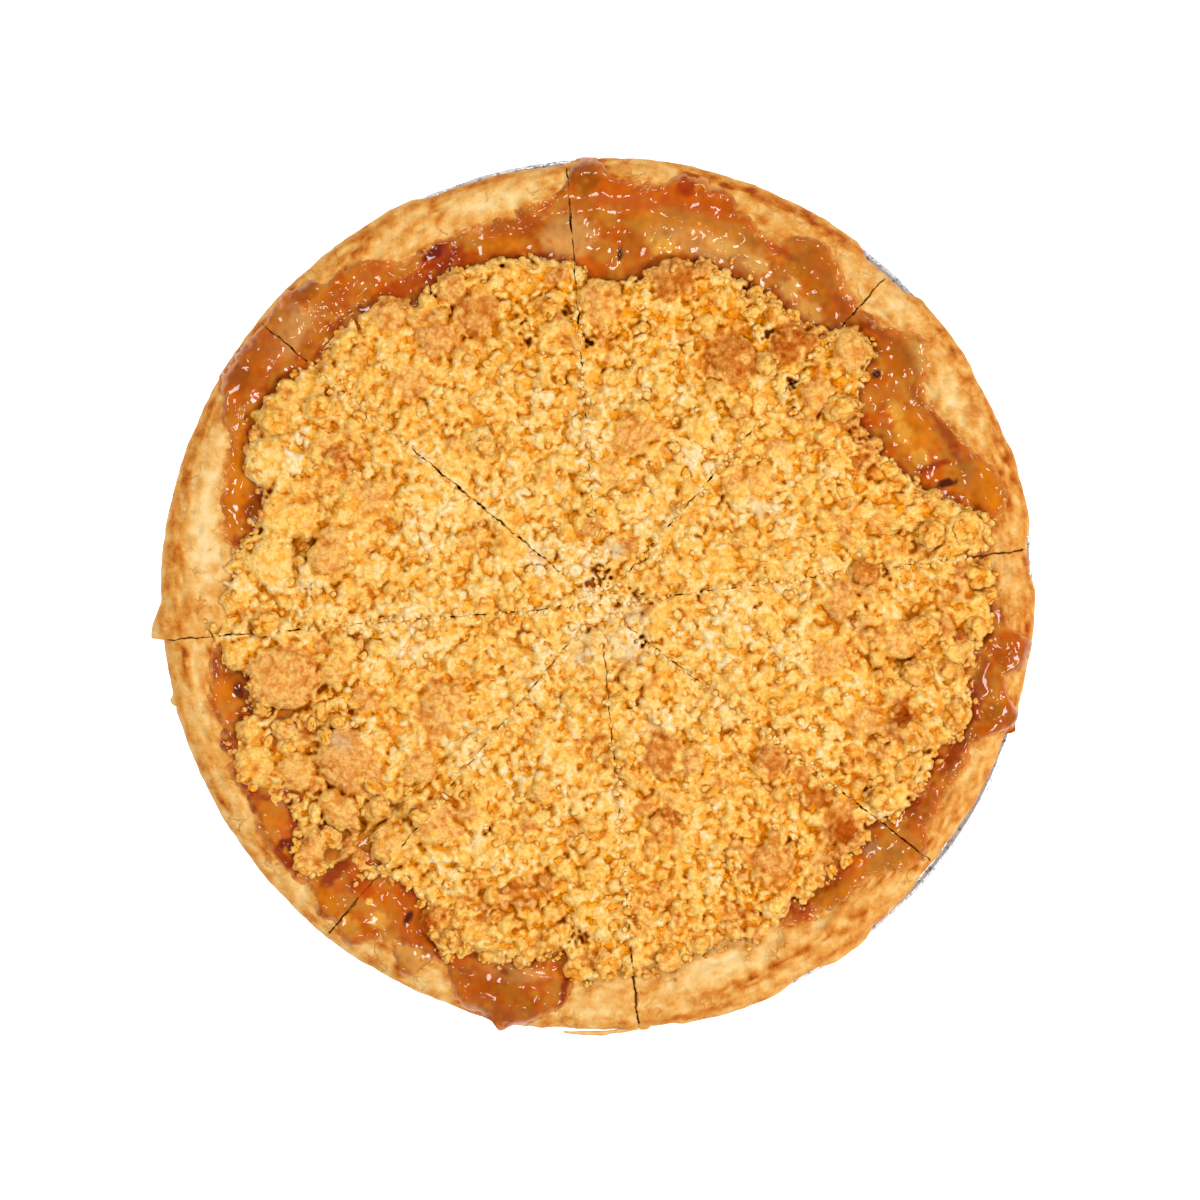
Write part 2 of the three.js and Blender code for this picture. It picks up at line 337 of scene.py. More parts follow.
def window(x, y, reach):
    """The raster's cells that lie within reach of a point."""
    i0, i1 = int((x - reach + HALF) / CELL), int((x + reach + HALF) / CELL) + 2
    j0, j1 = int((y - reach + HALF) / CELL), int((y + reach + HALF) / CELL) + 2
    return slice(max(j0, 0), min(j1, SIDE)), slice(max(i0, 0), min(i1, SIDE))


def heap(height, tone, base, grains, squareness=2.0, roundness=0.62):
    """Raises the height to each grain's dome, and takes the grain's tone there.
    A grain is x, y, radius, how far its top is above the base, tone, stretch, turn."""
    for x, y, radius, top, shade, stretch, turn in grains:
        place = window(x, y, radius * 1.5 + 1.4)
        dx, dy = WX[place] - x, WY[place] - y
        c, s = math.cos(turn), math.sin(turn)
        across = (dx * c + dy * s) / (radius * stretch)
        along = (dy * c - dx * s) * stretch / radius
        d = across * across + along * along
        dome = np.clip(1 - d ** (squareness / 2), 0, 1) ** roundness
        z = sample(base, x, y) + top - min(radius, MOST_RISE) * (1 - dome)
        spot = height[place]
        higher = (d < 1) & (z > spot)
        spot[higher] = z[higher]
        tone[place][higher] = shade


def scatter(spacing, seed, keep):
    """Jittered points in a hexagonal pattern, with the random draws for each, where keep says so."""
    rng = np.random.default_rng(SEED + seed)
    row_spacing = spacing * 0.87
    rows = int(2 * HALF / row_spacing)
    columns = int(2 * HALF / spacing)
    j, i = np.meshgrid(np.arange(rows), np.arange(columns), indexing="ij")
    x = (i + 0.5 * (j % 2)) * spacing - HALF + rng.uniform(-0.45, 0.45, i.shape) * spacing
    y = j * row_spacing - HALF + rng.uniform(-0.45, 0.45, i.shape) * spacing
    draws = rng.uniform(0, 1, (5,) + i.shape)
    x, y, draws = x.ravel(), y.ravel(), draws.reshape(5, -1)
    order = rng.permutation(len(x))
    x, y, draws = x[order], y[order], draws[:, order]
    kept = keep(x, y)
    return x[kept], y[kept], draws[:, kept]


def strewn(scattered, tone, radius, top, shade, stretch, smaller=1.0):
    """Grains for a heap at scattered points. Each measure is its least and how much a random draw adds.
    The shade comes on top of the tone there, and a higher smaller makes more of the grains small."""
    x, y, draws = scattered
    draws[0] **= smaller
    measures = [least + more * draw for (least, more), draw in zip((radius, top, shade, stretch), draws)]
    measures[2] += sample(tone, x, y)
    return zip(x, y, *measures, 3 * draws[4])


# ---- Crumb topping ---------------------------------------------------------------------------------
# Tone of the crumbs: 0 cream, 0.5 golden yellow, 1 toasted brown.
# Larger crumb clumps: px, py, radius in px, tone, how proud in mm.
FUSED_CLUMPS = [
    (435, 721, 35, 0.66, 1.5), (446, 707, 26, 0.62, 1.5), (734, 362, 27, 0.76, 1.6),
    (790, 345, 22, 0.8, 1.6), (675, 283, 24, 0.78, 1.6), (601, 304, 25, 0.62, 1.8),
    (476, 314, 24, 0.74, 1.6), (452, 288, 17, 0.67, 1.5), (438, 339, 20, 0.7, 1.4),
    (390, 315, 20, 0.7, 1.5), (338, 354, 10, 0.57, 1.2), (280, 414, 22, 0.54, 1.6),
    (612, 472, 18, 0.58, 1.2), (630, 436, 22, 0.62, 1.4), (648, 428, 16, 0.6, 1.3),
    (738, 488, 18, 0.58, 1.3), (757, 482, 18, 0.56, 1.3), (777, 449, 15, 0.64, 1.2),
    (545, 477, 15, 0.52, 1.2), (479, 441, 16, 0.4, 1.2), (410, 380, 25, 0.67, 1.2),
    (849, 351, 20, 0.64, 1.9), (817, 395, 20, 0.62, 1.6), (839, 600, 20, 0.7, 1.3),
    (828, 656, 22, 0.64, 1.4), (771, 757, 15, 0.72, 1.4), (839, 817, 25, 0.68, 1.4),
    (772, 863, 25, 0.72, 1.7), (663, 755, 24, 0.66, 1.5), (691, 762, 15, 0.62, 1.4),
    (645, 808, 14, 0.62, 1.2), (638, 780, 12, 0.58, 1.2), (592, 822, 14, 0.58, 1.2),
    (547, 881, 12, 0.72, 1.2), (268, 463, 25, 0.48, 1.5), (284, 519, 22, 0.54, 1.6),
    (300, 521, 20, 0.54, 1.5), (272, 562, 25, 0.5, 1.5), (328, 559, 20, 0.68, 1.4),
    (334, 540, 16, 0.66, 1.3), (374, 500, 22, 0.64, 1.3), (351, 494, 15, 0.6, 1.3),
    (320, 411, 18, 0.6, 1.4), (358, 522, 14, 0.6, 1.2), (366, 698, 18, 0.66, 1.4),
    (334, 670, 16, 0.64, 1.4), (456, 470, 18, 0.46, 1.0), (510, 548, 20, 0.5, 1.0),
    (505, 520, 16, 0.5, 1.0), (700, 430, 18, 0.46, 1.0), (720, 560, 20, 0.5, 1.0),
    (560, 760, 22, 0.5, 1.1), (880, 520, 20, 0.6, 1.2), (900, 640, 20, 0.6, 1.2),
    (860, 720, 22, 0.64, 1.3), (560, 330, 16, 0.6, 1.2), (285, 677, 36, 0.76, 3.4),
    (352, 762, 35, 0.7, 3.2), (253, 765, 22, 0.62, 3.0), (297, 771, 22, 0.64, 3.0),
    (343, 813, 19, 0.64, 3.0), (393, 845, 23, 0.64, 3.0), (308, 861, 17, 0.64, 2.8),
    (363, 861, 16, 0.66, 2.8), (316, 842, 14, 0.64, 2.6), (250, 732, 14, 0.62, 2.4),
    (236, 655, 15, 0.58, 2.2), (330, 800, 12, 0.62, 2.4), (434, 822, 22, 0.64, 1.6),
    (405, 912, 16, 0.62, 1.6), (420, 765, 20, 0.62, 1.4), (236, 597, 16, 0.56, 1.8),
]
# Places that are browner, or paler, than the crumbs round them: px, py, radius in px, by how much.
BROWN_PATCHES = [
    (435, 715, 34, 0.04), (734, 362, 30, 0.04), (790, 345, 22, 0.08), (675, 283, 24, 0.05),
    (476, 314, 24, 0.04), (410, 380, 26, 0.04), (822, 796, 16, 0.3), (846, 832, 18, 0.36),
    (800, 776, 20, 0.16), (836, 860, 16, 0.2), (904, 714, 8, 0.5), (866, 470, 12, 0.3),
    (663, 755, 26, 0.14), (771, 765, 18, 0.1), (866, 576, 18, 0.3), (328, 556, 22, 0.08),
    (645, 808, 16, 0.1), (640, 434, 22, 0.1), (612, 472, 16, 0.06), (547, 881, 16, 0.1),
    (606, 577, 12, 0.34), (624, 590, 7, 0.3), (870, 459, 14, 0.3), (908, 710, 14, 0.3),
    (310, 860, 30, 0.05),
]
PALE_PATCHES = [
    (607, 552, 10, 0.5), (534, 563, 12, 0.34), (582, 655, 10, 0.4), (630, 647, 12, 0.4),
    (600, 604, 34, 0.2), (270, 460, 40, 0.1), (380, 620, 50, 0.12), (720, 640, 60, 0.08),
    (640, 470, 60, 0.06), (900, 560, 50, 0.05), (455, 470, 40, 0.08), (640, 330, 40, 0.06),
    (265, 500, 70, 0.1), (245, 610, 60, 0.12), (300, 590, 60, 0.08), (270, 720, 60, 0.1),
    (380, 370, 50, 0.08), (420, 860, 50, 0.06), (590, 900, 50, 0.08),
]
# Greyish places by the cuts: px, py, radius in px, how grey.
GREY_PATCHES = [
    (617, 550, 8, 0.8), (637, 613, 9, 0.6), (580, 657, 9, 0.6), (630, 655, 13, 0.4), (590, 640, 10, 0.35),
    (604, 630, 8, 0.3), (537, 556, 8, 0.3), (676, 512, 5, 0.7), (760, 510, 7, 0.6), (750, 500, 5, 0.4),
    (560, 487, 5, 0.5), (655, 724, 7, 0.5), (856, 625, 7, 0.5), (335, 739, 8, 0.5), (345, 745, 7, 0.4),
]
# Where the clumps lie apart and the ground between them is lower: px, py, radius in px, mm.
LOOSE_GROUND = [(322, 735, 62, 2.6), (345, 838, 44, 1.8), (255, 700, 34, 2.2), (250, 800, 30, 2.0),
                (400, 880, 34, 1.6)]
# Where the gaps between the crumbs get darker painted shade: px, py, radius in px, how much more so.
DARKER_SHADE_PLACES = [
    (908, 512, 50, 0.8), (867, 440, 50, 0.9), (820, 372, 50, 1.0), (754, 326, 55, 1.0),
    (679, 295, 55, 1.0), (599, 305, 55, 1.0), (521, 310, 50, 0.8), (764, 880, 60, 1.0),
    (550, 910, 60, 1.0), (960, 600, 40, 0.6), (840, 790, 40, 0.6), (352, 712, 40, 0.6),
    (330, 790, 50, 0.5), (395, 900, 40, 0.6), (255, 690, 40, 0.5), (599, 590, 34, 0.6),
    (250, 600, 30, 0.4), (700, 940, 40, 0.4),
]
# Pits between crumbs: px, py, radius in px, depth in mm.
PITS = [
    (589, 344, 4, 2.5), (525, 342, 6, 3.0), (464, 337, 4, 2.0), (770, 333, 5, 3.0), (793, 383, 5, 3.0),
    (944, 480, 5, 2.5), (885, 575, 4, 2.5), (581, 938, 8, 3.0), (599, 574, 9, 3.4), (643, 640, 6, 3.5),
    (592, 584, 5, 2.5), (634, 594, 4, 2.5), (618, 606, 3, 2.0), (548, 609, 3, 1.5), (560, 608, 3, 1.5),
    (572, 608, 3, 1.5), (557, 556, 4, 2.0), (540, 566, 4, 2.0), (640, 562, 4, 1.5), (690, 560, 3, 1.5),
    (747, 292, 6, 2.5), (766, 334, 5, 2.5), (792, 382, 5, 2.5), (588, 339, 5, 2.0), (567, 311, 5, 2.5),
    (817, 414, 4, 2.0), (859, 440, 4, 2.0), (791, 402, 4, 2.0), (816, 775, 4, 2.0), (869, 786, 4, 2.0),
    (837, 863, 4, 2.0), (790, 839, 4, 2.0), (925, 752, 4, 2.0), (241, 691, 5, 3.0), (409, 916, 6, 3.0),
    (487, 829, 5, 2.5), (352, 712, 5, 2.0), (598, 585, 5, 1.5),
]


rough_ground = noise(24, 19)
looseness = sum(hill(*place) for *place, _ in LOOSE_GROUND)


def crumb_heap():
    """Height and tone of the crumbs' relief, grains of all sizes packed to one level, and how deep the
    grooves between the large ones are, 0 to 1."""
    inside = crumb_edge - RADIUS
    shoulder = np.sqrt(np.clip(1 - (1 - np.clip(inside / 2.0, 0, 1)) ** 2, 0, 1))
    top = CRUMB_Z - HEAP_FALL * smooth(70, 112, RADIUS) + 0.6 * noise(28, 10) + 0.45 * noise(12, 11)
    middle = np.hypot(X - CUT_CENTRE[0], Y - CUT_CENTRE[1] - 1.0)
    top -= DIP_DEPTH * np.exp(-((middle / DIP_R) ** 2)) + hills(LOOSE_GROUND)
    low = LEVEL_Z - 1.6
    base = np.where(inside < 0, low, low + (top - low) * shoulder)
    height = base - 1.6 * shoulder
    tone = 0.42 + 0.08 * noise(30, 12) + 0.07 * noise(12, 13) + 0.15 * smooth(50, 100, RADIUS)

    def room(x, y, least):
        return sample(inside, x, y) > least

    points = scatter(2.9, 15, lambda x, y: room(x, y, -0.2))
    small = strewn(points, tone, radius=(1.2, 0.9), top=(-1.0, 1.5), shade=(-0.07, 0.14),
                   stretch=(0.84, 0.32))
    heap(height, tone, base, small, roundness=0.85)
    plain = height.copy()

    firm = (rough_ground > -0.3) & (looseness < 0.6)
    points = scatter(5.8, 14, lambda x, y: room(x, y, 2.2) & (sample(firm, x, y) > 0.5))
    large = strewn(points, tone, radius=(2.0, 1.6), top=(-0.4, 1.5), shade=(-0.08, 0.3),
                   stretch=(0.82, 0.36), smaller=1.3)
    heap(height, tone, base, large, squareness=2.2)

    clumps = []
    for i, (px, py, radius, shade, proud) in enumerate(FUSED_CLUMPS):
        stretch = 0.92 + 0.08 * (i % 3)
        place = (*from_photo(px, py), radius * MM_PER_PX)
        clumps.append((*place, proud - CLUMP_SUNK, shade + CLUMP_TOAST, stretch, 0.9 * i))
    heap(height, tone, base, clumps, squareness=2.6)
    groove = blur(height, 1.5) - height
    groove = smooth(0.5, 2.2, blur(groove, 0.2) / groove[inside > 2].std())
    groove *= 0.25 + 0.75 * np.clip(looseness, 0, 1)

    on_large = height > plain + 0.05
    points = scatter(2.6, 17, lambda x, y: sample(on_large, x, y) > 0.5)
    bumps = strewn(points, blur(tone, 0.4), radius=(1.1, 0.9), top=(-0.05, 0.8), shade=(-0.05, 0.1),
                   stretch=(0.88, 0.24))
    heap(height, tone, blur(height, 0.5), bumps, roundness=0.85)
    height += 0.04 * noise(0.8, 18) - 0.9 * groove
    return height, blur(tone, 0.3), groove


crumb_z, crumb_tone, clump_groove = crumb_heap()
ragged = 0.35 * noise(2.2, 22)
for px, py, radius, depth in PITS:
    x, y = from_photo(px, py)
    distance = np.hypot(WX - x, WY - y) / (radius * MM_PER_PX) + ragged
    crumb_z -= depth * (1 - smooth(0.2, 1.4, distance))
crumb_tone += hills(BROWN_PATCHES) - hills(PALE_PATCHES)
crumb_tone += 0.16 * smooth(0.9, 2.2, noise(5, 20)) - 0.14 * smooth(1.1, 2.3, noise(6, 21))
crumb_tone -= 0.12 * np.exp(-((near_cut / 1.8) ** 2))
crumb_grey = np.clip(hills(GREY_PATCHES), 0, 1)
around_z = blur(crumb_z, 1.6)
on_crumbs = RADIUS < crumb_edge - 2


def depth_below(sigma):
    """How far the crumbs lie below what is around them, as a multiple of its deviation."""
    field = blur(crumb_z, sigma) - crumb_z
    return field / field[on_crumbs].std()


shallow = depth_below(0.6)
shade_deepening = np.clip(hills(DARKER_SHADE_PLACES), 0, 1)


def darkened(depth, start, reach, sooner, shorter):
    """Painted shade, 0 to 1 as the depth passes from start over reach, both less where the shade is
    deepened.
    """
    return np.clip((depth - start + sooner * shade_deepening) / (reach - shorter * shade_deepening), 0, 1)


# Painted shade, 0 to 1, where the crumbs lie below their surroundings at fine and middle scales, and no
# less than in the grooves between large clumps.
crevice = blur(0.5 * shallow + 0.75 * depth_below(1.7), 0.12)
crevice = darkened(crevice, start=-0.5, reach=3.0, sooner=0.5, shorter=0.5)
crevice = np.maximum(smooth(0, 1, crevice), clump_groove)
# Darker painted shade in deep pits and the deepest grooves between clumps.
hollow = darkened(blur(shallow, 0.12), start=1.9, reach=1.4, sooner=0.7, shorter=0.2)
hollow = np.maximum(hollow, 0.8 * smooth(0.55, 1.0, clump_groove))
# Painted shade over broad low ground between clumps.
valley = smooth(0.8, 3.2, depth_below(4.5))
# Painted light: crumbs that stand above their surroundings are paler.
crumb_tone -= 0.16 * smooth(-0.2, -1.6, shallow)
crumb_z = blur(crumb_z, 0.25) + 0.05 * noise(1.2, 23)
CRUMB_LAYERS = {"tone": crumb_tone, "crevice": crevice, "hollow": hollow, "valley": valley,
                "grey": crumb_grey}

# ---- Syrup and apple -------------------------------------------------------------------------------
SHINE = 0.008  # what the wet surface's mirroring of the white studio adds to its paint
FILM_PAST = 0.35  # how far past its outline a film of syrup still lies on the pastry
# The darkest paint, for the holes, is painted shade in pits of the syrup.
SYRUP_PAINTS = {
    "amber": (198, 96, 10), "gold": (212, 120, 18), "orange": (202, 92, 2), "tan": (200, 124, 48),
    "beige": (212, 148, 82), "pale": (226, 164, 82), "apple": (232, 164, 68), "pink": (186, 102, 34),
    "plum": (158, 80, 34), "brown": (178, 84, 20), "caramel": (148, 58, 2), "red": (156, 54, 2),
    "ember": (184, 74, 2), "grey": (176, 120, 76), "wine": (106, 36, 16), "hole_shade": (70, 28, 4),
}
# The syrup's colours and lumps as the photo shows them, each over those before it: bearing, px from the
# middle, half lengths along the rim and across it in px, paint, how much of it, how far it swells in mm.
SYRUP_PATCHES = [
    (15, 402, 26, 18, "gold", 0.9, 0.5), (26, 384, 40, 7, "caramel", 0.7, -0.3),
    (32, 376, 16, 6, "caramel", 0.5, 0), (27, 355, 30, 20, "gold", 0.7, 0.5),
    (23, 350, 12, 9, "apple", 0.7, 1.1), (28, 346, 13, 9, "apple", 0.7, 1.2),
    (32, 350, 11, 9, "apple", 0.7, 1.0), (21, 358, 4, 18, "red", 0.85, 0.2),
    (17.8, 366, 5, 11, "hole_shade", 0.95, -0.6), (35, 350, 12, 14, "tan", 0.5, 0.3),
    (36, 402, 20, 13, "pale", 0.75, 0.5), (39, 382, 24, 14, "pink", 0.8, 0.3),
    (38.5, 355, 4, 5, "hole_shade", 1, -0.7), (44, 386, 20, 8, "caramel", 0.5, 0),
    (50, 372, 20, 16, "brown", 0.6, 0), (57, 394, 28, 22, "pink", 0.7, 0.9),
    (53.5, 350, 18, 13, "pale", 0.75, 0.9), (74, 376, 78, 20, "tan", 0.9, 0),
    (72, 366, 70, 14, "beige", 0.55, 0), (76, 406, 60, 13, "orange", 0.8, 0.2),
    (86, 400, 34, 17, "orange", 0.8, 0.1), (66, 402, 26, 8, "amber", 0.6, 0),
    (58, 360, 12, 12, "pale", 0.9, 1.2), (64.5, 366, 14, 9, "pale", 0.95, 1.1),
    (70.5, 370, 15, 9, "pale", 0.9, 1.0), (73, 357, 14, 8, "beige", 0.9, 1.0),
    (80, 356, 19, 10, "apple", 0.95, 1.4), (85, 350, 22, 14, "brown", 0.5, 0),
    (62, 388, 18, 4, "caramel", 0.5, -0.2), (65, 343, 50, 5, "caramel", 0.7, -0.3),
    (74, 345, 24, 6, "red", 0.5, -0.3), (86.5, 342, 3, 8, "hole_shade", 0.9, -0.4),
    (89, 362, 5, 8, "brown", 0.7, -0.6), (78, 418, 10, 11, "red", 0.85, 0.4),
    (92, 420, 14, 20, "plum", 0.75, 0.3), (92, 380, 14, 24, "pink", 0.6, 0),
    (95, 360, 28, 22, "beige", 0.95, 0.3), (103, 376, 34, 14, "brown", 0.8, 0),
    (106, 364, 20, 9, "gold", 0.5, 0.7), (115, 372, 24, 13, "red", 0.85, 0.7),
    (116, 381, 13, 7, "wine", 0.85, 0.3), (112, 360, 14, 10, "ember", 0.7, 0.3),
    (125, 364, 46, 12, "ember", 0.8, 0.4), (130, 397, 40, 13, "amber", 0.5, 0.2),
    (134, 422, 18, 12, "plum", 0.7, 0.1), (137, 418, 8, 8, "grey", 0.7, 0.3),
    (138, 392, 20, 16, "pink", 0.6, 0.1), (140, 404, 36, 15, "beige", 0.85, 0.3),
    (146, 410, 40, 18, "brown", 0.7, 0.2), (149, 420, 14, 12, "plum", 0.75, 0.1),
    (144, 376, 24, 12, "brown", 0.5, 0), (158, 390, 44, 8, "gold", 0.8, 0),
    (166, 376, 40, 8, "gold", 0.9, 0), (167, 357, 26, 7, "plum", 0.8, -0.3),
    (190, 391, 24, 5, "red", 0.7, -0.1), (194.5, 392, 14, 13, "gold", 0.8, 0.2),
    (195, 374, 8, 6, "hole_shade", 0.85, -0.8), (203, 402, 50, 6, "red", 0.8, -0.2),
    (211, 408, 30, 5, "red", 0.7, -0.2), (214, 392, 16, 13, "gold", 0.7, 0.6),
    (213, 378, 10, 8, "grey", 0.5, 0.6), (218.5, 402, 6, 9, "wine", 0.85, -0.3),
    (221, 411, 30, 5, "red", 0.75, -0.1), (226.5, 384, 7, 24, "caramel", 0.9, -1),
    (228, 411, 16, 12, "gold", 0.6, 0.3), (233, 415, 14, 10, "apple", 0.6, 0.3),
    (229, 423, 9, 4, "red", 0.8, 0), (231, 378, 16, 11, "ember", 0.8, 0.2),
    (238, 374, 26, 16, "amber", 0.5, 0.2), (236, 393, 10, 8, "apple", 0.9, 1.2),
    (239, 350, 22, 14, "ember", 0.6, 0.3), (239.5, 376, 4, 8, "hole_shade", 0.9, -0.7),
    (245, 378, 16, 10, "ember", 0.6, 0), (243, 400, 24, 7, "caramel", 0.6, 0),
    (243, 410, 36, 13, "pale", 0.75, 0.2), (242, 425, 14, 8, "pink", 0.7, 0.2),
    (252, 410, 26, 20, "brown", 0.7, 0.6), (258, 418, 24, 24, "plum", 0.6, 0.5),
    (257, 386, 34, 9, "beige", 0.6, 0.3), (265, 400, 4, 20, "red", 0.9, -0.1),
    (268, 350, 10, 16, "wine", 0.7, -1.5), (303, 378, 18, 7, "ember", 0.5, -0.4),
    (309, 384, 28, 9, "gold", 0.9, 0), (318, 392, 18, 24, "tan", 0.9, 0.6),
    (317, 372, 9, 9, "grey", 0.8, 0.6), (328, 392, 34, 9, "amber", 0.5, 0.1),
    (337, 390, 26, 8, "caramel", 0.75, -0.3), (343, 418, 16, 20, "plum", 0.6, 0.4),
    (347, 396, 24, 9, "caramel", 0.5, 0), (352, 415, 20, 16, "brown", 0.7, 0.5),
    (350, 381, 22, 9, "apple", 0.6, 0.9), (357, 386, 20, 10, "gold", 0.5, 0.5),
]
# Where the syrup has dried in fine wrinkles that glitter: bearing, px from the middle, half lengths in px.
SYRUP_WRINKLES = [
    (15, 408, 12, 10), (11, 398, 8, 6), (30, 376, 30, 6), (38, 386, 14, 12), (56, 406, 14, 7),
    (59, 366, 12, 10), (70, 370, 24, 6), (66, 395, 24, 8), (75, 418, 14, 8), (83, 408, 20, 8),
    (92, 415, 10, 22), (103, 388, 34, 8), (120, 366, 24, 10), (130, 396, 34, 16), (137, 400, 20, 18),
    (145, 403, 22, 10), (153, 403, 20, 12), (158, 392, 24, 6), (167, 358, 20, 8), (190, 386, 16, 6),
    (203, 398, 34, 5), (216, 398, 20, 8), (229, 400, 16, 14), (236, 372, 24, 14), (236, 410, 12, 18),
    (251, 412, 14, 14), (258, 425, 16, 12), (303, 374, 16, 6), (318, 402, 14, 10), (328, 398, 40, 5),
    (344, 412, 20, 16), (352, 412, 20, 14), (350, 385, 24, 6),
]


def syrup_surface():
    """Height and colour of the syrup round the crumbs, and how thinly it lies over the pastry."""
    inside = syrup_edge - RADIUS
    level = LEVEL_Z + 0.35 + 0.32 * noise(9, 50) + 0.09 * noise(3.6, 51)
    paints = {}
    for name, srgb in SYRUP_PAINTS.items():
        paints[name] = np.maximum(np.array(linear(*srgb)[:3]) - SHINE, 0.002)
    clear = smooth(-1.3, 1.3, 0.7 * noise(13, 52) + 0.7 * noise(4.5, 53))[..., None]
    colour = paints["amber"] * clear + paints["tan"] * (1 - clear)
    patchy = 1 + 0.22 * fine_wobble
    for bearing, px, along, across, paint, amount, swell in SYRUP_PATCHES:
        spot = ring_spot(RADIUS, BEARING, bearing, px, along, across)
        level += swell * spot
        cover = (amount * smooth(0.18, 0.62, spot * patchy))[..., None]
        colour = colour * (1 - cover) + paints[paint] * cover
    rim_line = 0.6 * np.exp(-(((inside - 0.7) / 0.6) ** 2)) * smooth(-1, 1, noise(7, 56))
    # Beside the crumbs the caramel paint is partly caramel and partly painted shade.
    caramel_and_shade_by_crumbs = 0.9 * np.exp(-(((RADIUS - crumb_edge) / 2.3) ** 2)) * smooth(-1.4, 0.3, noise(9, 57))
    for cover in (rim_line[..., None], caramel_and_shade_by_crumbs[..., None]):
        colour = colour * (1 - cover) + paints["caramel"] * cover
    wrinkled = np.clip(sum(ring_spot(RADIUS, BEARING, *place) for place in SYRUP_WRINKLES), 0, 1)
    wrinkles = (0.006 + 0.14 * wrinkled ** 1.5) * noise(2.2, 54)
    film = -0.5 + 1.6 * np.sqrt(np.clip((inside + FILM_PAST) / 2.2, 0, 1))
    film = film + 0.05 * np.clip(inside, 0, 1) * noise(2.8, 55)
    over_pastry = blur(pastry_z, 1.1) + film
    joined = 0.5 * (level + over_pastry + np.sqrt((level - over_pastry) ** 2 + 0.8))
    height = over_pastry + (joined - over_pastry) * smooth(0.6, 2.4, inside)
    height += wrinkles * smooth(0, 1, inside)
    height = np.where(inside > -FILM_PAST, height, pastry_z - 0.5)
    thin = smooth(1.0, 0.1, film) * (inside > -FILM_PAST)
    return height, colour, thin


syrup_z, syrup_colour, syrup_thin = syrup_surface()


# ---- Mesh making -----------------------------------------------------------------------------------
NARROWED = 0.12  # share of a cut's width that is left below the surface


def half_gap(number, radius):
    """Half the width of a cut at a radius."""
    reach, widths = zip(*CUTS[number][1])
    uneven = 1 + 0.35 * np.sin(0.9 * radius + number) + 0.3 * np.sin(3.7 * radius + 2 * number)
    away = radius / MM_PER_PX
    return np.interp(away, reach, widths) * uneven * smooth(30, 42, away)


def cut_bearing(number, radius):
    """A cut's bearing at a radius: straight but for a slight wavering."""
    aside = 0.16 * np.sin(0.8 * radius + 3 * number) + 0.1 * np.sin(2.1 * radius + 5 * number)
    return CUT_BEARINGS[number] + np.degrees(aside * smooth(2, 12, radius) / radius)


def on_pie(radius, bearing):
    """Round at the rim, and drawn in to where the cuts meet."""
    drawn_in = 1 - radius / RIM_R
    turn = np.radians(bearing)
    x, y = CUT_CENTRE
    return x * drawn_in + radius * np.cos(turn), y * drawn_in + radius * np.sin(turn)


def slice_span(k, radius, openness=1.0):
    """The bearings between which slice k lies, at a radius, less half the gap at each cut."""
    following = (k + 1) % SLICES
    start, stop = cut_bearing(k, radius), cut_bearing(following, radius) + (360 if following == 0 else 0)
    left = start + np.degrees(openness * half_gap(k, radius) / radius)
    right = stop - np.degrees(openness * half_gap(following, radius) / radius)
    return left, right


def add_object(name, data):
    thing = bpy.data.objects.new(name, data)
    bpy.context.scene.collection.objects.link(thing)
    return thing


class Fabric:
    """Points and faces gathered for one mesh, with any number of named values at each point."""

    def __init__(self, *names):
        self.names = names
        self.points = []
        self.values = {name: [] for name in names}
        self.faces = []
        self.sharp = []
        self.count = 0

    def add(self, x, y, z, **values):
        """Adds points and gives back their numbers."""
        points = np.stack(np.broadcast_arrays(x, y, z), axis=-1).reshape(-1, 3).astype(float)
        self.points.append(points)
        for name in self.names:
            value = np.asarray(values.get(name, 0.0), float)
            self.values[name].append(np.broadcast_to(value, (len(points),) + value.shape[1:]))
        numbers = np.arange(self.count, self.count + len(points))
        self.count += len(points)
        return numbers

    def stitch(self, low, high):
        """Triangles between two rows of points that run side by side, of any lengths."""
        mid_low = (np.arange(len(low) - 1) + 0.5) / (len(low) - 1)
        mid_high = (np.arange(len(high) - 1) + 0.5) / (len(high) - 1)
        apex_low = np.searchsorted(mid_high, mid_low, side="left")
        apex_high = np.searchsorted(mid_low, mid_high, side="right")
        self.faces.append(np.stack([low[:-1], high[apex_low], low[1:]], axis=1))
        self.faces.append(np.stack([low[apex_high], high[:-1], high[1:]], axis=1))

    def band(self, *rows):
        """Quads between each row of points and the next, which has as many."""
        for low, high in zip(rows, rows[1:]):
            self.faces.append(np.stack([low[:-1], high[:-1], high[1:], low[1:]], axis=1))

    def cap(self, loop):
        self.faces.append(np.array([loop]))

    def build(self, piece_name, material):
        faces = [face for group in self.faces for face in group.tolist()]
        mesh = bpy.data.meshes.new(piece_name)
        mesh.from_pydata((np.concatenate(self.points) * MM).tolist(), [], faces)
        for name in self.names:
            column = np.concatenate(self.values[name]).astype(np.float32)
            kind, field = ("FLOAT", "value") if column.ndim == 1 else ("FLOAT_VECTOR", "vector")
            mesh.attributes.new(name, kind, "POINT").data.foreach_set(field, column.ravel())
        mesh.polygons.foreach_set("use_smooth", np.full(len(mesh.polygons), True))
        if self.sharp:
            on_edge = np.zeros(self.count, bool)
            on_edge[np.concatenate(self.sharp)] = True
            ends = np.empty(len(mesh.edges) * 2, np.int32)
            mesh.edges.foreach_get("vertices", ends)
            sharp = mesh.attributes.new("sharp_edge", "BOOLEAN", "EDGE")
            sharp.data.foreach_set("value", on_edge[ends.reshape(-1, 2)].all(1))
        mesh.materials.append(material)
        mesh.validate()
        mesh.update()
        piece = add_object(piece_name, mesh)
        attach(piece, "root")
        return piece


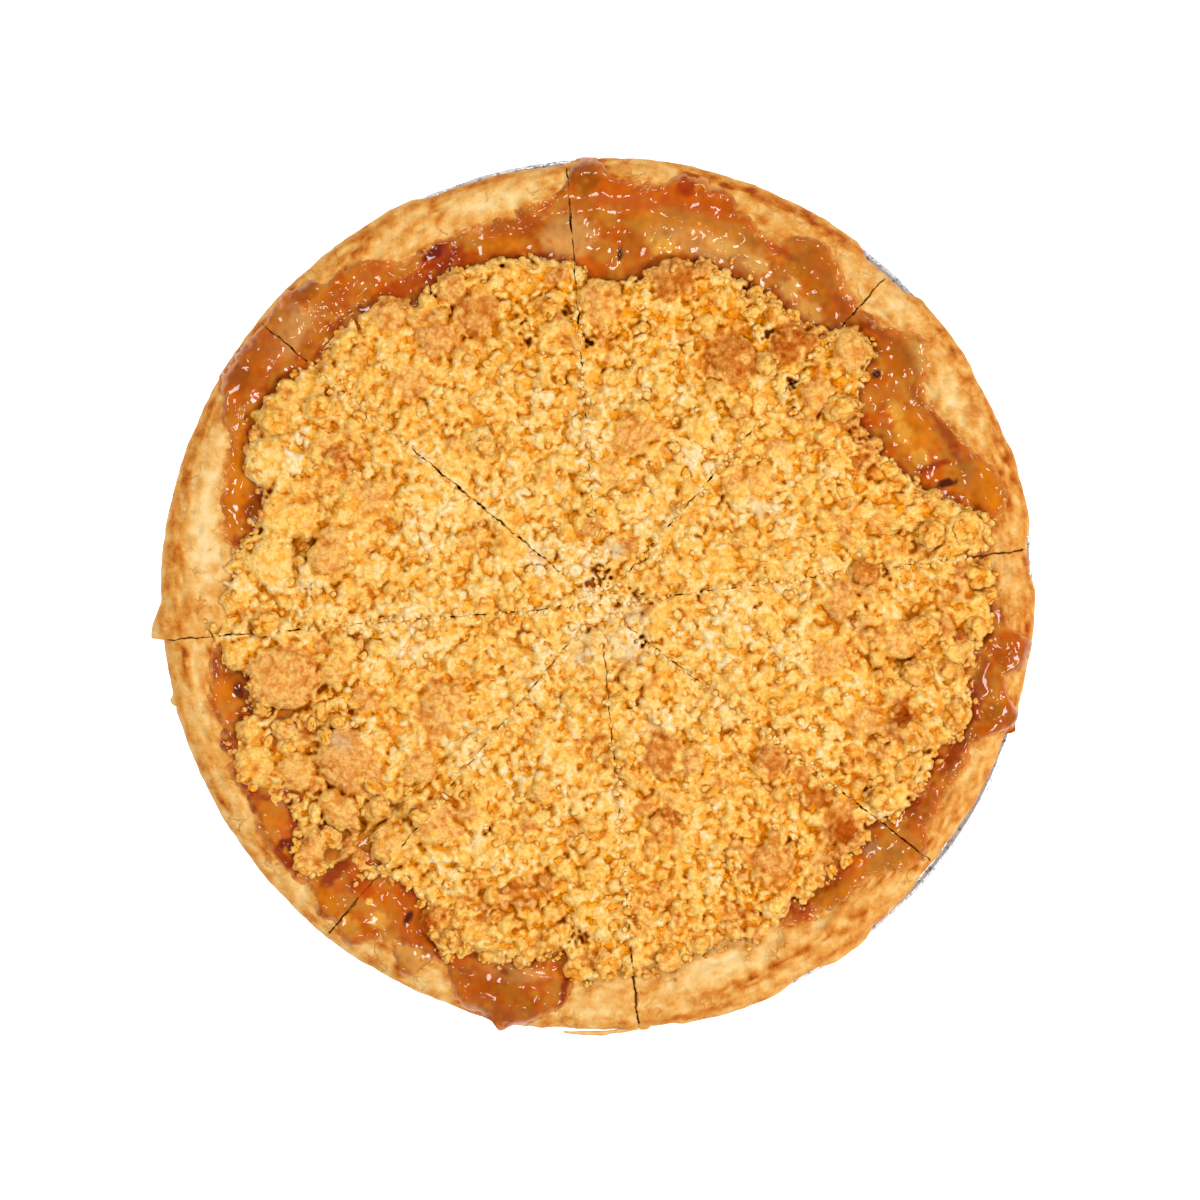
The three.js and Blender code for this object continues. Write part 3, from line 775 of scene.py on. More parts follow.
def wedge_top(fabric, k, rings, steps, top):
    """The upper face of slice k, ring by ring. rings gives each ring's radius at a bearing, steps the
    length of its triangles, and top the height and values at points. Gives back each ring's points as
    their numbers, radii and bearings."""
    rows = []
    for ring, step in zip(rings, steps):
        size = float(ring(np.mean(slice_span(k, 60.0))))
        left, right = slice_span(k, size)
        count = max(1, int(round(math.radians(right - left) * size / step)))
        bearing = np.linspace(left, right, count + 1)
        x, y = on_pie(ring(bearing), bearing)
        z, values = top(x, y)
        rows.append(np.array([fabric.add(x, y, z, **values), ring(bearing), bearing]))
    for low, high in zip(rows, rows[1:]):
        fabric.stitch(low[0].astype(int), high[0].astype(int))
    return rows


def wedge_wall(fabric, k, rows, targets, values):
    """Closes a wedge below its upper face, the cuts narrowing downwards. Each target takes the wall's
    points, as a share of the upper face's reach, their bearing and that reach, and gives their radius and
    height."""
    along_first_cut = [row[:, :1] for row in rows[:-1]]
    along_next_cut = [row[:, -1:] for row in rows[-2::-1]]
    loop = np.concatenate([*along_first_cut, rows[-1], *along_next_cut, rows[0][:, -2:0:-1]], axis=1)
    numbers, radius, bearing = loop[0].astype(int), loop[1], loop[2]
    fabric.sharp.append(numbers)
    reach = np.interp(bearing, rows[-1][2], rows[-1][1])
    left, right = slice_span(k, radius)
    low_left, low_right = slice_span(k, radius, NARROWED)
    narrowed = low_left + (bearing - left) / (right - left) * (low_right - low_left)
    rings = [numbers]
    for target in targets:
        out, z = target(radius / reach, bearing, reach)
        x, y = on_pie(out, narrowed)
        rings.append(fabric.add(x, y, z, **values))
    fabric.band(*(np.append(ring, ring[0]) for ring in rings))
    fabric.cap(rings[-1][::-1])


# ---- Materials -------------------------------------------------------------------------------------
class Paint:
    """A Principled material and short ways to add nodes to it."""

    def __init__(self, name, **settings):
        self.material = bpy.data.materials.new(name)
        self.material.use_nodes = True
        self.tree = self.material.node_tree
        self.shader = self.tree.nodes["Principled BSDF"]
        self.feed(self.shader, {socket.replace("_", " "): value for socket, value in settings.items()})
        self.place = self.node("ShaderNodeTexCoord").outputs["Object"]

    def feed(self, node, inputs):
        """Sets a node's inputs to plain values, or links them to other nodes' outputs."""
        for key, value in inputs.items():
            if isinstance(value, bpy.types.NodeSocket):
                self.tree.links.new(value, node.inputs[key])
            else:
                node.inputs[key].default_value = value

    def node(self, kind, inputs=None, **settings):
        node = self.tree.nodes.new(kind)
        for key, value in settings.items():
            setattr(node, key, value)
        self.feed(node, inputs or {})
        return node

    def texture(self, kind, size, place=None, **settings):
        """A noise or Voronoi texture whose blobs or cells are about so many millimetres across."""
        inputs = {"Scale": 1 / (size * MM), "Vector": place or self.place}
        return self.node(f"ShaderNodeTex{kind}", inputs, **settings)

    def value(self, name, output="Fac"):
        return self.node("ShaderNodeAttribute", attribute_name=name).outputs[output]

    def noise(self, size, detail=3.0, roughness=0.55):
        node = self.texture("Noise", size)
        self.feed(node, {"Detail": detail, "Roughness": roughness})
        return node.outputs["Fac"]

    def maths(self, operation, *values):
        return self.node("ShaderNodeMath", dict(enumerate(values)), operation=operation).outputs[0]

    def shaded(self, colour, noise, amount, rest):
        """The colour made lighter and darker by noise: times the noise times the amount, plus the rest."""
        inputs = {0: colour, "Scale": self.maths("MULTIPLY_ADD", noise, amount, rest)}
        return self.node("ShaderNodeVectorMath", inputs, operation="SCALE").outputs[0]

    def mottled(self, name, noise, amount):
        """A named value, raised and lowered by noise."""
        change = self.maths("MULTIPLY", self.maths("SUBTRACT", noise, 0.5), amount)
        return self.maths("ADD", self.value(name), change)

    def cells(self, size):
        """0 at scattered points about so many millimetres apart, and rising to 1 between them."""
        distance = self.texture("Voronoi", size, feature="F1").outputs["Distance"]
        return self.maths("MULTIPLY", distance, distance)

    def cracks(self, size):
        """1 along wandering lines between cells of about so many millimetres, 0 away from them."""
        wander = self.texture("Noise", size / 2.5).outputs["Color"]
        inputs = {0: wander, 1: (0.8 * size * MM,) * 3, 2: self.place}
        moved = self.node("ShaderNodeVectorMath", inputs, operation="MULTIPLY_ADD")
        lines = self.texture("Voronoi", size, moved.outputs[0], feature="DISTANCE_TO_EDGE")
        return self.fade(0.09, 0.02, lines.outputs["Distance"])

    def fade(self, low, high, value):
        """Goes smoothly from 0 at one value to 1 at the other."""
        inputs = {"From Min": low, "From Max": high, "Value": value}
        return self.node("ShaderNodeMapRange", inputs, interpolation_type="SMOOTHSTEP").outputs["Result"]

    def ramp(self, value, stops):
        node = self.node("ShaderNodeValToRGB", {"Fac": value})
        elements = node.color_ramp.elements
        while len(elements) < len(stops):
            elements.new(0.5)
        for element, (position, colour) in zip(elements, stops):
            element.position = position
            element.color = linear(*colour)
        return node.outputs["Color"]

    def cover(self, colour, over, mask, most=None):
        """Lays another colour over one where the mask says, at most so much of it."""
        if isinstance(over, tuple):
            over = linear(*over)
        if most is not None:
            mask = self.maths("MULTIPLY", mask, most)
        return self.node("ShaderNodeMix", {0: mask, 6: colour, 7: over}, data_type="RGBA").outputs[2]

    def finish(self, colour, heights=(), **inputs):
        """Links the colour, and each (height, strength, distance in mm) as one bump over the other."""
        inputs["Base Color"] = colour
        for height, strength, distance in heights:
            bump = {"Height": height, "Strength": strength, "Distance": distance * MM}
            if "Normal" in inputs:
                bump["Normal"] = inputs["Normal"]
            inputs["Normal"] = self.node("ShaderNodeBump", bump).outputs["Normal"]
        self.feed(self.shader, inputs)
        return self.material


# Ramps of paints by tone, toast or noise, and single paints.
CRUMB_COLOURS = [(0.0, (254, 232, 192)), (0.26, (253, 223, 156)), (0.5, (251, 207, 108)),
                 (0.72, (243, 186, 106)), (0.86, (222, 144, 64)), (1.0, (190, 90, 24))]
# Painted shade: the saturated colour laid into crevices and gaps between crumbs, by tone.
BETWEEN_SHADE_COLOURS = [(0.2, (254, 180, 8)), (0.5, (245, 150, 0)), (0.75, (212, 116, 6)), (1.0, (150, 60, 0))]
# Painted shade over broad low ground.
VALLEY_SHADE_COLOUR = (204, 112, 8)
GREYISH_COLOUR = (204, 178, 138)
# Painted shade in crack lines within shaded crevices.
CRACK_SHADE_COLOUR = (190, 92, 0)
# Painted shade in deep hollows.
HOLLOW_SHADE_COLOUR = (130, 54, 0)
THIN_SYRUP = (222, 142, 62)
PASTRY_COLOURS = [(0.0, (252, 226, 176)), (0.3, (246, 202, 128)), (0.55, (232, 164, 76)),
                  (0.8, (204, 112, 28)), (1.0, (162, 68, 10))]
PASTRY_CRACK = (196, 112, 40)
FOIL_COLOURS = [(0.36, (150, 153, 160)), (0.46, (240, 241, 245)), (0.6, (254, 254, 255))]
FOIL_WALL_COLOURS = [(0.3, (206, 209, 214)), (0.7, (246, 247, 250))]
# Painted shade in the pleats' folds.
FOIL_FOLD_SHADE = (108, 111, 118)


def crumb_material():
    paint = Paint("baked_crumbs", Roughness=0.9, Specular_IOR_Level=0.0)
    tone = paint.mottled("tone", paint.noise(2.6), 0.5)
    crevice = paint.value("crevice")
    pebble = paint.cells(2.3)
    grain = paint.cells(1.2)
    grit = paint.noise(0.7, 3.0, 0.7)
    # Painted shade: the between colour goes into crevices, at the borders of pebbles and grains, and in
    # random dark specks.
    between = paint.ramp(tone, BETWEEN_SHADE_COLOURS)
    colour = paint.cover(paint.ramp(tone, CRUMB_COLOURS), between, crevice)
    colour = paint.cover(colour, between, paint.fade(0.22, 0.62, pebble), 0.6)
    colour = paint.cover(colour, between, paint.fade(0.15, 0.6, grain), 0.35)
    colour = paint.cover(colour, between, paint.fade(0.5, 0.3, paint.noise(0.9, 3.0, 0.7)), 0.6)
    # Painted shade over broad low ground.
    colour = paint.cover(colour, VALLEY_SHADE_COLOUR, paint.value("valley"), 0.6)
    # Painted shade in crack lines within the shaded crevices.
    cracks = paint.maths("MULTIPLY", paint.cracks(3.6), paint.fade(0.15, 0.6, crevice))
    colour = paint.cover(colour, CRACK_SHADE_COLOUR, cracks, 0.75)
    colour = paint.cover(colour, GREYISH_COLOUR, paint.value("grey"))
    # Painted shade in deep hollows.
    colour = paint.cover(colour, HOLLOW_SHADE_COLOUR, paint.value("hollow"))
    colour = paint.shaded(colour, grit, 0.8, 0.64)
    pebbles, grains = paint.maths("SUBTRACT", 1.0, pebble), paint.maths("SUBTRACT", 1.0, grain)
    return paint.finish(colour, [(pebbles, 0.7, 0.7), (grains, 0.5, 0.35), (grit, 0.5, 0.3)])


def syrup_material():
    paint = Paint("apple_syrup", Roughness=0.05, IOR=1.45, Specular_IOR_Level=0.22)
    colour = paint.cover(paint.value("colour", "Color"), THIN_SYRUP, paint.value("thin"))
    cloudy = paint.maths("MULTIPLY_ADD", paint.noise(7.0, 2.0), 0.8, 0.37)
    return paint.finish(paint.shaded(colour, paint.noise(2.0), 0.38, cloudy))


def pastry_material():
    paint = Paint("pastry", Roughness=0.6, Specular_IOR_Level=0.05)
    tone = paint.mottled("toast", paint.noise(3.0, 6.0, 0.75), 0.8)
    cracks = paint.maths("MULTIPLY", paint.cracks(5.0), paint.fade(0.5, 0.68, paint.noise(7)))
    colour = paint.cover(paint.ramp(tone, PASTRY_COLOURS), PASTRY_CRACK, cracks, 0.5)
    heights = [(paint.noise(1.0, 5.0, 0.7), 0.6, 0.4), (paint.maths("SUBTRACT", 1.0, cracks), 0.6, 0.4)]
    return paint.finish(colour, heights)


def foil_material():
    paint = Paint("foil", Metallic=0.5)
    crumpled = paint.ramp(paint.noise(1.4), FOIL_COLOURS)
    plain = paint.ramp(paint.noise(8.0, 2.0), FOIL_WALL_COLOURS)
    colour = paint.cover(crumpled, plain, paint.value("wall"))
    # Painted shade in the pleats' folds.
    colour = paint.cover(colour, FOIL_FOLD_SHADE, paint.value("fold"), 0.85)
    roughness = paint.maths("MULTIPLY_ADD", paint.noise(5), 0.16, 0.18)
    return paint.finish(colour, [(paint.noise(1.6), 0.5, 0.5)], Roughness=roughness)


CRUMBS = crumb_material()
SYRUP = syrup_material()
PASTRY = pastry_material()
ALUMINIUM = foil_material()

# ---- Slices ----------------------------------------------------------------------------------------
CRUMB_STEP = 0.46  # length of the triangles' sides
SYRUP_STEP = 0.55
HIDDEN_STEP = 3.2  # where the filling lies under the crumbs
PASTRY_STEP = 0.7
CUT_LIP = 0.9  # how far down a cut the topping's side has drawn together
# The filling's side and the pastry's section below its rim, as radius and height.
FILLING_SIDE = [(104.0, 33.0), (94.2, 7.4), (90.0, FLOOR_Z)]
PASTRY_UNDERSIDE = [(2.0, 0.8), (95.8, 0.8), (97.5, 2.6), (104.4, 18), (111.1, 32.4), (112.8, 33.5)]
PASTRY_LIP = [(3.2, 33.7), (1.1, 34.15), (0.25, 34.9)]  # mm in from the rim's outer edge, and height
PASTRY_TOP_FROM_R = 101.5  # from here out its top follows pastry_height
PASTRY_INSIDE = [(98.5, SUNK_Z), (94.0, 7.2), (89.5, 4.9), (2.0, 4.9)]
RIM_TOP_R = 119.0  # about the middle of the rounded rim
PARTED_Z = 38.8  # the cuts gape above this height, and below it the pastry nearly meets


def crumb_values(x, y):
    return sample(crumb_z, x, y), {name: sample(field, x, y) for name, field in CRUMB_LAYERS.items()}


def crumb_reach(bearing):
    return around(CRUMB_EDGE, bearing) + 3.4


def level(radius, z):
    """A wall's target at one radius and height all round."""
    return lambda share, bearing, reach: (share * radius, np.full(share.shape, z))


def make_topping(k):
    fabric = Fabric(*CRUMB_LAYERS)
    count = int(CRUMB_R / (CRUMB_STEP * 0.88))
    shares = np.linspace(0.3 / CRUMB_R, 1, count)
    rings = [lambda bearing, share=share: share * crumb_reach(bearing) for share in shares]
    rows = wedge_top(fabric, k, rings, [CRUMB_STEP] * count, crumb_values)

    def lip(share, bearing, reach):
        return share * reach, sample(crumb_z, *on_pie(share * reach, bearing)) - CUT_LIP

    def bottom(share, bearing, reach):
        return share * reach, np.full(share.shape, CRUMB_FLOOR_Z - 0.6)

    # The cut walls get a paler tone and some painted shade.
    wedge_wall(fabric, k, rows, [lip, bottom], {"tone": 0.3, "crevice": 0.3})
    piece = fabric.build(f"crumb_topping_{k + 1}", CRUMBS)
    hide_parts(f"topping_{k + 1}")


def syrup_values(x, y):
    colour = np.stack([sample(syrup_colour[..., i], x, y) for i in range(3)], axis=-1)
    return sample(syrup_z, x, y), {"colour": colour, "thin": sample(syrup_thin, x, y)}


# Drips over the rim: bearing, half width in degrees, mm beyond the pastry's edge.
DRIPS = [(257.3, 1.0, 2.8), (341.7, 0.9, 1.8), (152, 1.5, 0.5)]


def syrup_reach(bearing):
    brim = pastry_edge(bearing) + 0.35
    for at, half_width, beyond in DRIPS:
        brim = brim + beyond * np.exp(-(((bearing % 360) - at) / half_width) ** 2)
    return np.minimum(np.maximum(around(SYRUP_EDGE, bearing) + 1.2, SYRUP_LEAST_R), brim)


def syrup_start(bearing):
    """Where the syrup begins to show, a little under the crumbs."""
    return around(CRUMB_EDGE, bearing) - 3.0


def make_filling(k):
    fabric = Fabric("colour", "thin")
    hidden = np.linspace(0.02, 0.98, 24)
    shown = np.linspace(0, 1, 38)
    rings = [lambda bearing, share=share: share * syrup_start(bearing) for share in hidden]
    rings += [lambda bearing, share=share: (1 - share) * syrup_start(bearing) + share * syrup_reach(bearing)
              for share in shown]
    steps = [HIDDEN_STEP] * len(hidden) + [SYRUP_STEP] * len(shown)
    rows = wedge_top(fabric, k, rings, steps, syrup_values)

    def under(depth, inward):
        """Below the surface and the pastry's top, drawn in by a share of the way to the filling's side."""
        def target(share, bearing, reach):
            out = share * (reach - inward * (reach - FILLING_SIDE_R))
            top = sample(syrup_z, *on_pie(out, bearing))
            return out, np.minimum(sample(pastry_z, *on_pie(out, bearing)), top) - depth
        return target

    targets = [under(0.7, 0.02), under(0.9, 0.5)] + [level(radius, z) for radius, z in FILLING_SIDE]
    wedge_wall(fabric, k, rows, targets, {"colour": np.array([linear(*SYRUP_PAINTS["tan"])[:3]])})
    piece = fabric.build(f"apple_filling_{k + 1}", SYRUP)
    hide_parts(f"filling_{k + 1}")


def pastry_rows(bearing):
    """The pastry's section at each bearing: (radius, height) row by row, from the middle out under its
    floor, up and over the rim, and back to the middle."""
    edge = pastry_edge(bearing)
    crest = crest_radius(bearing)
    flat = np.ones_like(bearing)
    rows = [(r * flat, z * flat) for r, z in PASTRY_UNDERSIDE]
    rows += [(edge - inward, z * flat) for inward, z in PASTRY_LIP]
    tops = [crest + (edge - crest) * math.sin(turn) for turn in np.linspace(math.pi / 2, 0, 17)]
    tops += [PASTRY_TOP_FROM_R + (crest - PASTRY_TOP_FROM_R) * share for share in np.linspace(1, 0, 20)[1:]]
    rows += [(r, pastry_height(r, bearing)) for r in tops]
    return rows + [(r * flat, z * flat) for r, z in PASTRY_INSIDE]


BROWNED_R = 121.5  # the line round the rim's outer side that bakes brownest
# Browner and paler places on the pastry: bearing, px from the middle, half lengths in px, how much browner.
PASTRY_PATCHES = [
    (3, 428, 20, 7, 0.05), (12, 429, 20, 5, -0.2), (20, 430, 50, 6, 0.22), (29, 421, 26, 6, 0.15),
    (30, 402, 20, 11, -0.22), (38, 430, 30, 5, 0.12), (44, 415, 12, 10, -0.15), (54, 412, 16, 10, -0.12),
    (60, 430, 56, 7, 0.22), (72, 431, 50, 5, 0.18), (82, 424, 20, 6, -0.1), (88, 429, 10, 5, 0.1),
    (104, 408, 44, 12, -0.25), (99, 426, 24, 6, -0.08), (113, 417, 6, 14, 0.42), (117, 412, 14, 7, 0.28),
    (121, 428, 36, 6, 0.18), (108, 430, 30, 4, 0.12), (155, 425, 16, 6, 0.15), (164, 405, 40, 10, -0.22),
    (172, 396, 40, 16, -0.26), (165, 429, 50, 5, 0.2), (176, 421, 32, 6, 0.34), (181, 405, 14, 10, 0.1),
    (184, 418, 10, 12, 0.2), (189, 420, 22, 4, 0.4), (196, 412, 30, 6, -0.1), (203, 418, 9, 5, 0.3),
    (209, 428, 12, 4, 0.35), (217, 421, 14, 6, 0.3), (225, 430, 30, 5, 0.12), (246, 426, 20, 7, -0.1),
    (269, 420, 14, 10, -0.15), (272, 428, 12, 6, 0.15), (283, 429, 34, 5, 0.12), (290, 414, 44, 5, 0.34),
    (299, 409, 40, 5, 0.34), (308, 415, 26, 6, 0.3), (305, 429, 36, 5, 0.15), (285, 396, 34, 10, -0.12),
    (287, 386, 20, 8, -0.2), (294, 398, 24, 8, -0.12), (326, 415, 32, 6, 0.2), (335, 408, 20, 8, -0.1),
    (356, 428, 18, 5, 0.3), (126, 422, 20, 7, 0.2), (158, 412, 30, 6, -0.1), (314, 402, 20, 8, 0.1),
    (10, 425, 190, 20, 0.11), (222, 425, 100, 20, -0.14), (98, 420, 70, 16, 0.11),
    (287, 425, 60, 16, 0.07), (332, 425, 50, 16, 0.07),
]


def toast(radius, bearing):
    """How brown the pastry is: blotches and streaks along the rim, more by the syrup, and the patches."""
    streaks = on_strip(flakes, radius, bearing)
    tone = 0.45 + 0.06 * on_strip(blisters, radius, bearing) + 0.035 * streaks
    tone = tone + 0.03 * on_strip(fine_flakes, radius, bearing) + 0.05 * ripple(bearing, 60)
    tone = tone + 0.12 * np.exp(-((radius - BROWNED_R) / 1.6) ** 2)
    beyond = np.maximum(radius - around(SYRUP_EDGE, bearing), 0)
    tone = tone + (0.2 + 0.08 * streaks) * np.exp(-beyond / 1.8)
    patches = sum(strength * ring_spot(radius, bearing, *place) for *place, strength in PASTRY_PATCHES)
    return tone + patches * (1 + 0.25 * streaks)


def make_crust(k):
    """The pastry of slice k, which closes up again at the cuts a little below its crest."""
    fabric = Fabric("toast")
    columns = int(np.radians(np.ptp(slice_span(k, 110))) * RIM_TOP_R / PASTRY_STEP)
    across = np.linspace(0, 1, columns + 1)
    first, last = slice_span(k, RIM_TOP_R)
    section = pastry_rows(first + across * (last - first))
    rows = []
    for radius, z in section:
        left, right = slice_span(k, radius, np.where(z < PARTED_Z, NARROWED, 1.0))
        bearing = left + across * (right - left)
        x, y = on_pie(radius, bearing)
        rows.append(fabric.add(x, y, z, toast=toast(radius, bearing)))
    fabric.band(*rows, rows[0])
    for end, turned in ((0, 1), (-1, -1)):
        loop = np.array([row[end] for row in rows])
        radius, z = (np.array([part[end] for part in column]) for column in zip(*section))
        crest = np.flatnonzero(z >= PARTED_Z)
        x, y = on_pie(radius[crest], slice_span(k, radius[crest], NARROWED)[end])
        # Painted shade: the bottom of the gaping part of each cut is painted a deeper brown.
        lower = fabric.add(x, y, z[crest] - 0.75, toast=np.full(len(crest), 0.8))
        before, upper, after = loop[:crest[0]], loop[crest], loop[crest[-1] + 1:]
        fabric.band(*(upper, lower)[::turned])
        for corner in ((before[-1], upper[0], lower[0]), (upper[-1], after[0], lower[-1])):
            fabric.cap(np.array(corner)[::-turned])
        fabric.cap(np.concatenate([before, lower, after])[::turned])
        fabric.sharp.append(loop)
    piece = fabric.build(f"pastry_{k + 1}", PASTRY)
    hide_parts(f"crust_{k + 1}")


for k in range(SLICES):
    make_topping(k)
    make_filling(k)
    make_crust(k)


# ---- Foil tin --------------------------------------------------------------------------------------
TIN_COLUMNS = 504
PLEATS = 84
FOIL = 0.25  # the foil's thickness
TIN_FLOOR_R = 98.4
TIN_WALL_R = 112.9  # the wall's radius at its top
# The floor's underside from the middle out, with the two rings that the tin stands on: radius and height.
TIN_FLOOR = [(0.6, 0.35), (55, 0.35), (57, 0.0), (70, 0.0), (72, 0.35), (90, 0.35), (92, 0.0),
             (TIN_FLOOR_R - 0.9, 0.0), (TIN_FLOOR_R, 0.35)]


def make_tin():
    fabric = Fabric("wall", "fold")
    bearing = np.arange(TIN_COLUMNS) * 360 / TIN_COLUMNS
    pleat = np.abs(np.sin(np.radians(bearing) * PLEATS / 2 + 0.9 * ripple(bearing, 71))) - 0.6
    pleat = pleat * (0.75 + 0.25 * ripple(bearing, 72, (23, 37, 41)))
    dent = ripple(bearing, 73, (9, 14, 27, 44))
    crimp = ripple(bearing, 74, (61, 97, 134))

    def outside(z):
        up = np.clip((z - 0.9) / (FLANGE_Z - 0.9), 0, 1)
        deep = smooth(0.02, 0.15, up) * (1 - 0.6 * smooth(0.8, 1, up))
        return TIN_FLOOR_R + (TIN_WALL_R - TIN_FLOOR_R) * up + 0.85 * pleat * deep + 0.15 * dent * up

    flat = np.ones_like(bearing)
    flange = FLANGE_Z + 0.14 * crimp
    rows = [(r * flat, z * flat) for r, z in TIN_FLOOR]
    rows += [(outside(z), z * flat) for z in np.linspace(0.9, FLANGE_Z - 0.9, 22)]
    rows += [(TIN_WALL_R + 0.8 * flat, flange - 0.35), (TIN_WALL_R + 4 * flat, flange - 0.1),
             (RIM_R - 2.3 * flat, flange)]
    bead_r = RIM_R - BEAD_R + 0.22 * dent + 0.08 * crimp
    bead_z = FLANGE_Z - 0.45 + 0.12 * dent
    for turn in np.radians(np.arange(-160, 151, 31)):
        rows.append((bead_r + 0.95 * BEAD_R * math.cos(turn), bead_z + 0.8 * BEAD_R * math.sin(turn)))
    rows += [(RIM_R - 2.3 * flat, flange + FOIL), (TIN_WALL_R + 4 * flat, flange + FOIL - 0.1)]
    rows += [(outside(z) - FOIL, z * flat) for z in np.linspace(FLANGE_Z - 0.9, 1.2, 8)]
    inner_floor = [(TIN_FLOOR_R - 1.2, 0), (92, 0), (90, 0.35), (0.6, 0.35)]
    rows += [(r * flat, (z + FOIL) * flat) for r, z in inner_floor]
    turn = np.radians(bearing)
    loops = []
    for r, z in rows:
        wall = smooth(0.6, 1.6, z) * (1 - smooth(FLANGE_Z - 1.6, FLANGE_Z - 0.8, z))
        # Painted shade in the pleats' inner folds, stronger where the pleat dips deeper.
        fold = wall * np.clip(-2.2 * pleat, 0, 1) * smooth(1.0, 5.0, z)
        loops.append(fabric.add(r * np.cos(turn), r * np.sin(turn), z, wall=wall, fold=fold))
    fabric.band(*(np.append(loop, loop[0]) for loop in loops))
    fabric.cap(loops[0])
    fabric.cap(loops[-1][::-1])
    piece = fabric.build("foil_tin", ALUMINIUM)
    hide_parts("tin")


make_tin()


def make_flake():
    """A thin flake of crust, lifted off the rim: one end stands off the tin's edge, one lies on it."""
    fabric = Fabric("toast")
    share = np.linspace(0, 1, 60)
    bearing = 265.2 + 11 * share
    ends = np.sin(math.pi * share) ** 0.4
    middle_r = RIM_R + 0.7 - 0.9 * smooth(0.45, 0.8, share) + 0.12 * ripple(bearing, 90, (61, 97, 143))
    middle_z = 36.4 + 0.9 * smooth(0.5, 1.0, share) + 0.3 * ripple(bearing, 91, (37, 61))
    half = (0.66 + 0.14 * ripple(bearing, 92, (83, 131))) * ends + 0.03
    corners = []
    for across, up in ((-1, 0.1), (-0.4, 0.3), (0.5, 0.25), (1, -0.1), (0.3, -0.35), (-0.7, -0.3)):
        x, y = on_pie(middle_r + across * half, bearing)
        browned = np.full(share.shape, 0.42 + 0.1 * across)
        corners.append(fabric.add(x, y, middle_z + up * ends, toast=browned))
    fabric.band(*corners, corners[0])
    fabric.cap(np.array([corner[0] for corner in corners]))
    fabric.cap(np.array([corner[-1] for corner in reversed(corners)]))
    piece = fabric.build("crust_flake", PASTRY)


make_flake()


# ---- Loose and standing crumbs ---------------------------------------------------------------------
def ball(subdivisions):
    """Points and triangles of a unit icosphere."""
    mesh = bmesh.new()
    bmesh.ops.create_icosphere(mesh, subdivisions=subdivisions, radius=1)
    points = np.array([v.co for v in mesh.verts])
    faces = np.array([[v.index for v in face.verts] for face in mesh.faces])
    mesh.free()
    return points / np.linalg.norm(points, axis=1)[:, None], faces


BALLS = {n: ball(n) for n in (2, 3, 4)}


def lumpy(points, rng, levels):
    """How far out a crumb's surface lies in each direction: the outline of a cluster of balls.
    levels lists (how many, how far from the middle, their radius)."""
    out = np.full(len(points), 0.7)
    for count, distance, radius in levels:
        spots = rng.standard_normal((count, 3))
        spots *= distance * rng.uniform(0.85, 1.08, (count, 1)) / np.linalg.norm(spots, axis=1)[:, None]
        sizes = radius * rng.uniform(0.75, 1.3, count)
        toward = points @ spots.T
        inside = toward ** 2 - (spots ** 2).sum(1) + sizes ** 2
        reach = np.where(inside > 0, toward + np.sqrt(np.maximum(inside, 0)), 0)
        out = np.maximum(out, reach.max(1))
    return out


def turned(rng):
    """A random rotation, mostly about the upright axis."""
    a = rng.uniform(0, 2 * math.pi)
    tilt = rng.normal(0, 0.25, 2)
    spin = np.array([[math.cos(a), -math.sin(a), 0], [math.sin(a), math.cos(a), 0], [0, 0, 1]])
    lean = np.array([[1, 0, tilt[0]], [0, 1, tilt[1]], [-tilt[0], -tilt[1], 1]])
    return lean @ spin


def add_crumb(fabric, rng, x, y, z, size, flat, tone, detail, levels):
    """One crumb: a ball of so many subdivisions shaped by lumpy, of a size and flat times as high."""
    points, faces = BALLS[detail]
    out = lumpy(points, rng, levels)
    shape = points * out[:, None]
    shape = shape * (size * rng.uniform(0.75, 1.2), size * rng.uniform(0.75, 1.2), size * flat)
    shape = shape @ turned(rng).T + (x, y, z)
    # Painted shade in the crumb's dents and round its foot.
    dents = np.clip((np.quantile(out, 0.6) - out) / 0.15, 0, 1)
    foot = smooth(0.1, -0.5, points[:, 2])
    shadow = np.maximum(0.7 * dents, 0.25 * foot)
    numbers = fabric.add(*shape.T, tone=np.full(len(points), tone), crevice=shadow)
    fabric.faces.append(numbers[faces])


def ground(x, y, *fields):
    """The height of the highest of these surfaces at a point."""
    return float(max(sample(field, x, y) for field in fields))


